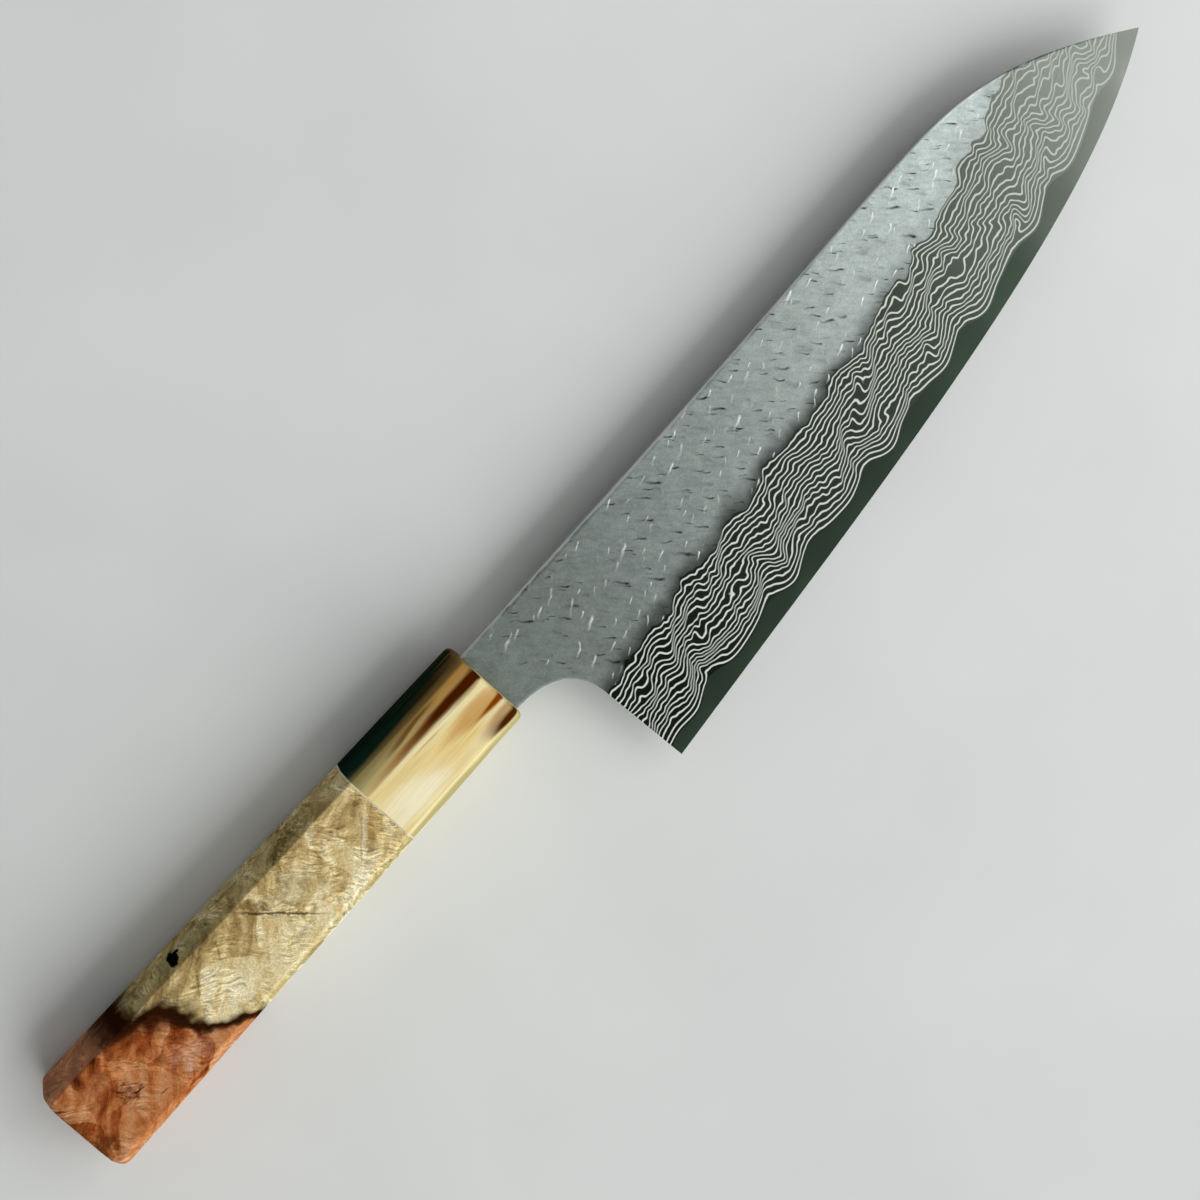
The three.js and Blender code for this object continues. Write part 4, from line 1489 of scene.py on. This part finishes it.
@dataclass(frozen=True)
class OctagonForm:
    """The handle's long octagon: it widens to the butt and its ridges are softened."""

    length: float
    front_width: float = 20.1
    butt_width: float = 23.7
    front_thick: float = 17.5
    butt_thick: float = 20.5
    cut_y: float = 2.4
    cut_z: float = 4.2
    ridge_round: float = 0.28
    ridge_steps: int = 3
    ridge_most: float = 0.3  # share of a facet that its softened ridge may take
    least_cut: float = 0.3  # mm that are left of a corner facet
    side_cells: int = 9
    corner_cells: int = 4
    broad_cells: int = 13

    @property
    def ridge(self) -> RidgeLine:
        """Gives where the broad facets end."""
        spread = (self.butt_width - self.front_width) / 2 / self.length
        return RidgeLine(self.front_width / 2 - self.cut_y, spread)

    def corners(self, x: float, inset: float) -> list[Vector]:
        """Gives the octagon's eight corners at x, drawn in by an inset.

        Args:
            x: Place along the handle, 0 at its front.
            inset: How far every facet moves in.

        Returns:
            Points in the section's plane, y and z, from the spine's side round by the right face.
        """
        share = -x / self.length
        half_y = (self.front_width + (self.butt_width - self.front_width) * share) / 2
        half_z = (self.front_thick + (self.butt_thick - self.front_thick) * share) / 2
        slant = math.hypot(self.cut_y, self.cut_z)
        normal_y, normal_z = self.cut_z / slant, self.cut_y / slant
        cut_y = max(self.least_cut, self.cut_y - inset * (1 + (normal_z - 1) / normal_y))
        cut_z = max(self.least_cut, self.cut_z - inset * (1 + (normal_y - 1) / normal_z))
        a, b = half_y - inset, half_z - inset
        quarter = [(a, b - cut_z), (a - cut_y, b)]
        right = quarter + [(-y, z) for y, z in reversed(quarter)]
        return [Vector(corner) for corner in right + [(-y, -z) for y, z in right]]

    def outline(self, x: float, inset: float = 0.0) -> list[Vector]:
        """Gives the softened octagon at x.

        Args:
            x: Place along the handle.
            inset: How far every facet moves in.

        Returns:
            Points in knife millimetres, one ring.
        """
        corners = self.corners(x, inset)
        cells = [self.corner_cells, self.broad_cells, self.corner_cells, self.side_cells] * 2
        ring: list[Vector] = []
        for k, corner in enumerate(corners):
            before, after = corners[k - 1] - corner, corners[(k + 1) % 8] - corner
            most = self.ridge_most * after.length
            soft = min(self.ridge_round, self.ridge_most * before.length, most)
            start, end = corner + before.normalized() * soft, corner + after.normalized() * soft
            for step in range(self.ridge_steps):
                t = step / self.ridge_steps
                ring.append(start * (1 - t) ** 2 + corner * (2 * t * (1 - t)) + end * t**2)
            follow = corners[(k + 1) % 8]
            back = (corner - follow).normalized() * min(self.ridge_round, most)
            goal = follow + back
            for step in range(cells[k]):
                ring.append(end.lerp(goal, step / cells[k]))
        return [Vector((x, point.x, point.y)) for point in ring]

    def slot(self, x: float, width: float, thick: float) -> list[Vector]:
        """Gives a rectangle seen from the axis along the same rays as the octagon's points (see outline)."""
        ring = []
        for point in self.outline(x):
            scale = min(width / 2 / max(abs(point.y), 1e-6), thick / 2 / max(abs(point.z), 1e-6))
            ring.append(Vector((x, point.y * scale, point.z * scale)))
        return ring

    def bore(self, x: float, diameter: float) -> list[Vector]:
        """Gives a circle along the same rays as the octagon's points (see outline)."""
        return [Vector((x, *(Vector(point.yz).normalized() * diameter / 2))) for point in self.outline(x)]


def quarter_turn(steps: int) -> list[float]:
    """Gives the angles of a quarter turn, both ends included."""
    return [k / steps * math.pi / 2 for k in range(steps + 1)]


def add_rings(
    bm: bmesh.types.BMesh, rings: Sequence[Sequence[Vector]], closed: bool = False
) -> list[list[bmesh.types.BMEdge]]:
    """Skins a row of rings that have as many points each.

    Args:
        bm: The mesh that they join.
        rings: The points of each ring.
        closed: Whether the last ring is joined to the first.

    Returns:
        The edges of each ring.
    """
    loops = []
    for ring in rings:
        verts = bmesh.ops.create_circle(bm, segments=len(ring), radius=1.0)["verts"]
        for vert, point in zip(verts, ring):
            vert.co = point
        loops.append(list({edge for vert in verts for edge in vert.link_edges}))
    pairs = list(zip(loops, loops[1:])) + ([(loops[-1], loops[0])] if closed else [])
    for first, second in pairs:
        bmesh.ops.bridge_loops(bm, edges=first + second)
    return loops


@dataclass
class HornFerrule:
    """The horn collar: slotted in front for the tang, bored from behind, its front edge softly broken."""

    knife: KnifeFrame
    form: OctagonForm
    length: float
    front_wall: float = 6.0
    slot_width: float = 9.7
    slot_thick: float = 2.9
    bore_diameter: float = 12.2
    nose_round: float = 1.3
    nose_steps: int = 6

    def build(self) -> bmesh.types.BMesh:
        """Skins the collar outside, then through its slot and bore.

        Returns:
            The closed collar.
        """
        bm = bmesh.new()
        radius = self.nose_round
        nose = [
            self.form.outline(-radius * (1 - math.cos(turn)), radius * (1 - math.sin(turn)))
            for turn in quarter_turn(self.nose_steps)
        ]
        inside = [
            self.form.bore(-self.length, self.bore_diameter),
            self.form.bore(-self.front_wall, self.bore_diameter),
            self.form.slot(-self.front_wall, self.slot_width, self.slot_thick),
            self.form.slot(0.0, self.slot_width, self.slot_thick),
        ]
        add_rings(bm, [*nose, self.form.outline(-self.length), *inside], closed=True)
        return bm

    def dress(self) -> bpy.types.Object:
        """Builds the collar and polishes it."""
        finish = PolishedHorn(ridge=self.form.ridge)
        return self.knife.add_piece(self.build(), "horn_collar", "horn_ferrule", "horn", finish)


@dataclass
class SeamSpacer:
    """The washer-thin spacer between horn and wood."""

    knife: KnifeFrame
    form: OctagonForm
    front: float
    back: float
    bore_diameter: float = 12.2

    def build(self) -> bmesh.types.BMesh:
        """Skins the washer outside and through its bore.

        Returns:
            The closed washer.
        """
        bm = bmesh.new()
        outside = [self.form.outline(self.front), self.form.outline(self.back)]
        inside = [self.form.bore(x, self.bore_diameter) for x in (self.back, self.front)]
        add_rings(bm, outside + inside, closed=True)
        return bm

    def dress(self) -> bpy.types.Object:
        """Builds the spacer and gives it its pale fibre."""
        return self.knife.add_piece(self.build(), "pale_spacer", "seam_spacer", "spacer", PaleSpacer())


@dataclass
class BurlGrip:
    """The octagonal burl grip: bored from the front, its butt rounded and domed, with one open knot."""

    knife: KnifeFrame
    form: OctagonForm
    front: float
    bore_end: float
    bore_diameter: float = 12.2
    butt_round: float = 2.4
    butt_steps: int = 6
    dome_rise: float = 0.9
    dome_steps: int = 5
    dome_inset: float = 8.5
    ring_gap: float = 1.5
    knot: Span = (-86.2, 10.55)
    knot_reach: Span = (1.2, 0.8)
    knot_depth: float = 0.6
    knot_fine: float = 3.2  # mm around its middle in which the mesh is made finer
    knot_cuts: int = 4
    upper: float = 3.0  # z above which a point belongs to the right face's side

    def build(self) -> bmesh.types.BMesh:
        """Skins the grip from its bore to its butt and sinks the knot.

        Returns:
            The closed grip.
        """
        bm = bmesh.new()
        rim = self.dome_rise - self.form.length
        radius = self.butt_round
        straight = np.arange(self.front, rim + radius, -self.ring_gap)
        domes = [k / self.dome_steps for k in range(1, self.dome_steps + 1)]
        outside = [self.form.outline(float(x)) for x in straight]
        outside += [
            self.form.outline(rim + radius * (1 - math.sin(turn)), radius * (1 - math.cos(turn)))
            for turn in quarter_turn(self.butt_steps)
        ]
        outside += [
            self.form.outline(
                rim - self.dome_rise * (1 - (1 - share) ** 2),
                radius + (self.dome_inset - radius) * share,
            )
            for share in domes
        ]
        inside = [self.form.bore(x, self.bore_diameter) for x in (self.bore_end, self.front)]
        loops = add_rings(bm, inside + outside)
        for end in (loops[0], loops[-1]):
            bmesh.ops.edgeloop_fill(bm, edges=end)
        self.sink_knot(bm)
        return bm

    def sink_knot(self, bm: bmesh.types.BMesh) -> None:
        """Presses the small open knot into the right face."""
        middle = Vector(self.knot)
        close = {
            vert
            for vert in bm.verts
            if vert.co.z > self.upper and (Vector(vert.co.xy) - middle).length < self.knot_fine
        }
        near = [edge for edge in bm.edges if close.issuperset(edge.verts)]
        bmesh.ops.subdivide_edges(bm, edges=near, cuts=self.knot_cuts, use_grid_fill=True)
        bm.normal_update()
        for vert in bm.verts:
            off = Vector(vert.co.xy) - middle
            far = math.hypot(off.x / self.knot_reach[0], off.y / self.knot_reach[1])
            if vert.co.z > self.upper and far < 1.0:
                vert.co -= vert.normal * self.knot_depth * (1 - far**4)

    def dress(self) -> bpy.types.Object:
        """Builds the grip and finishes it in burl."""
        finish = StabilisedBurl(ridge=self.form.ridge)
        return self.knife.add_piece(self.build(), "burl_grip", "handle_body", "burl", finish)


@dataclass
class HiddenFittings:
    """The dowel and the resin inside the handle: CAD solids that are right as they are."""

    knife: KnifeFrame

    def dress(self) -> None:
        """Gives the dowel its wood and the bond its resin."""
        for node, finish in (("tang_dowel", DowelWood()), ("tang_bond", CuredResin())):
            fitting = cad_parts[node]
            fitting.data.materials.clear()
            fitting.data.materials.append(finish.make(self.knife))
            LOG.info("%s keeps its solid, in %s", node, finish.label)


@dataclass
class Studio:
    """The photograph's view, a pale floor and soft light."""

    knife: KnifeFrame
    axis_climb: float = 47.7  # degrees by which the knife climbs to the picture's right
    lean: float = 11.0  # degrees by which the view comes from the spine's side
    centre: Triple = (28.58, -6.55, 0.0)  # mm, in the middle of the picture
    span: float = 252.05  # mm across the picture there
    distance: float = 900.0  # mm
    sensor: float = 36.0
    floor_size: float = 6.0  # m
    floor_cells: int = 8
    floor_gap: float = 0.02  # mm under the knife
    sky: float = 0.24
    key_size: Span = (0.4, 0.6)  # m
    key_at: Triple = (0.38, -0.1, 0.42)
    key_radiance: float = 1.0
    side_size: Span = (4.65, 3.49)
    side_at: Triple = (0.0, -2.375, 1.875)
    side_radiance: float = 1.75

    def add_camera(self) -> None:
        """Sets up the camera at the photograph's angle, for a square picture."""
        lean, climb = math.radians(self.lean), math.radians(self.axis_climb)
        back = Vector((0.0, math.sin(lean), math.cos(lean)))
        across = Vector((0.0, math.cos(lean), -math.sin(lean)))
        along = Vector((1.0, 0.0, 0.0))
        right = along * math.cos(climb) - across * math.sin(climb)
        up = along * math.sin(climb) + across * math.cos(climb)
        turn = Matrix((right, up, back)).transposed().to_4x4()
        data = bpy.data.cameras.new("view")
        data.sensor_width = self.sensor
        data.lens = self.sensor * self.distance / self.span
        camera = bpy.data.objects.new("view", data)
        aim = self.knife.origin + Vector(self.centre) * MM
        camera.matrix_world = Matrix.Translation(aim + back * self.distance * MM) @ turn
        bpy.context.scene.collection.objects.link(camera)
        bpy.context.scene.camera = camera

    def add_floor(self) -> None:
        """Lays the floor just under the knife."""
        bm = bmesh.new()
        cells = self.floor_cells
        bmesh.ops.create_grid(bm, x_segments=cells, y_segments=cells, size=self.floor_size / 2)
        mesh = bpy.data.meshes.new("floor")
        bm.to_mesh(mesh)
        bm.free()
        mesh.transform(Matrix.Translation((0.0, 0.0, -self.floor_gap * MM)))
        mesh.materials.append(PaleFloor().make(self.knife))
        floor = bpy.data.objects.new("floor", mesh)
        bpy.context.scene.collection.objects.link(floor)

    def add_softbox(self, name: str, place: Triple, size: Span, radiance: float) -> None:
        """Hangs one softbox, turned to the knife's middle.

        Args:
            name: The lamp's name.
            place: Where it hangs, in row metres.
            size: Its width and height in metres.
            radiance: How bright its face is, where 1 is paper white.
        """
        data = bpy.data.lights.new(name, "AREA")
        data.shape = "RECTANGLE"
        data.size, data.size_y = size
        data.energy = radiance * LAMP_POWER * size[0] * size[1]
        lamp = bpy.data.objects.new(name, data)
        lamp.location = place
        lamp.rotation_mode = "QUATERNION"
        lamp.rotation_quaternion = (-Vector(place)).to_track_quat("-Z", "Y")
        bpy.context.scene.collection.objects.link(lamp)

    def add_light(self) -> None:
        """Fills the room with even light and hangs the softboxes."""
        world = bpy.data.worlds.new("studio")
        world.use_nodes = True
        world.node_tree.nodes.clear()
        add = partial(add_node, world.node_tree)
        sky = add("Background", {"Color": linear("#ffffff"), "Strength": self.sky})
        add("OutputWorld", {"Surface": sky}, out=None)
        bpy.context.scene.world = world
        self.add_softbox("key", self.key_at, self.key_size, self.key_radiance)
        self.add_softbox("side", self.side_at, self.side_size, self.side_radiance)

    def set_up(self) -> None:
        """Builds the whole studio."""
        bpy.context.scene.view_settings.view_transform = "Standard"
        self.add_camera()
        self.add_floor()
        self.add_light()
        LOG.info("studio is set up")


def write_sizes() -> None:
    """Brings the view layer up to date."""
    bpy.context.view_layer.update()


def main() -> None:
    """Builds the studio and then the knife, from the blade back to the butt."""
    logging.basicConfig(level=logging.INFO, format="%(name)s: %(message)s")
    knife = KnifeFrame.from_nodes()
    Studio(knife).set_up()
    core_low, core_high = knife.box("core_steel")
    profile = BladeProfile(reach=core_high.x, heel_drop=-core_low.y, tang_length=-core_low.x)
    CoreSteel(knife, profile).dress()
    Cladding(knife, profile, side=Side.RIGHT, seed=5).dress()
    Cladding(knife, profile, side=Side.LEFT, seed=61).dress()
    grip_low, grip_high = knife.box("handle_body")
    form = OctagonForm(length=-grip_low.x)
    HornFerrule(knife, form, length=-knife.box("horn_ferrule")[0].x).dress()
    spacer_low, spacer_high = knife.box("seam_spacer")
    SeamSpacer(knife, form, front=spacer_high.x, back=spacer_low.x).dress()
    BurlGrip(knife, form, front=grip_high.x, bore_end=knife.box("tang_dowel")[0].x).dress()
    HiddenFittings(knife).dress()
    write_sizes()


if __name__ == "__main__":
    main()
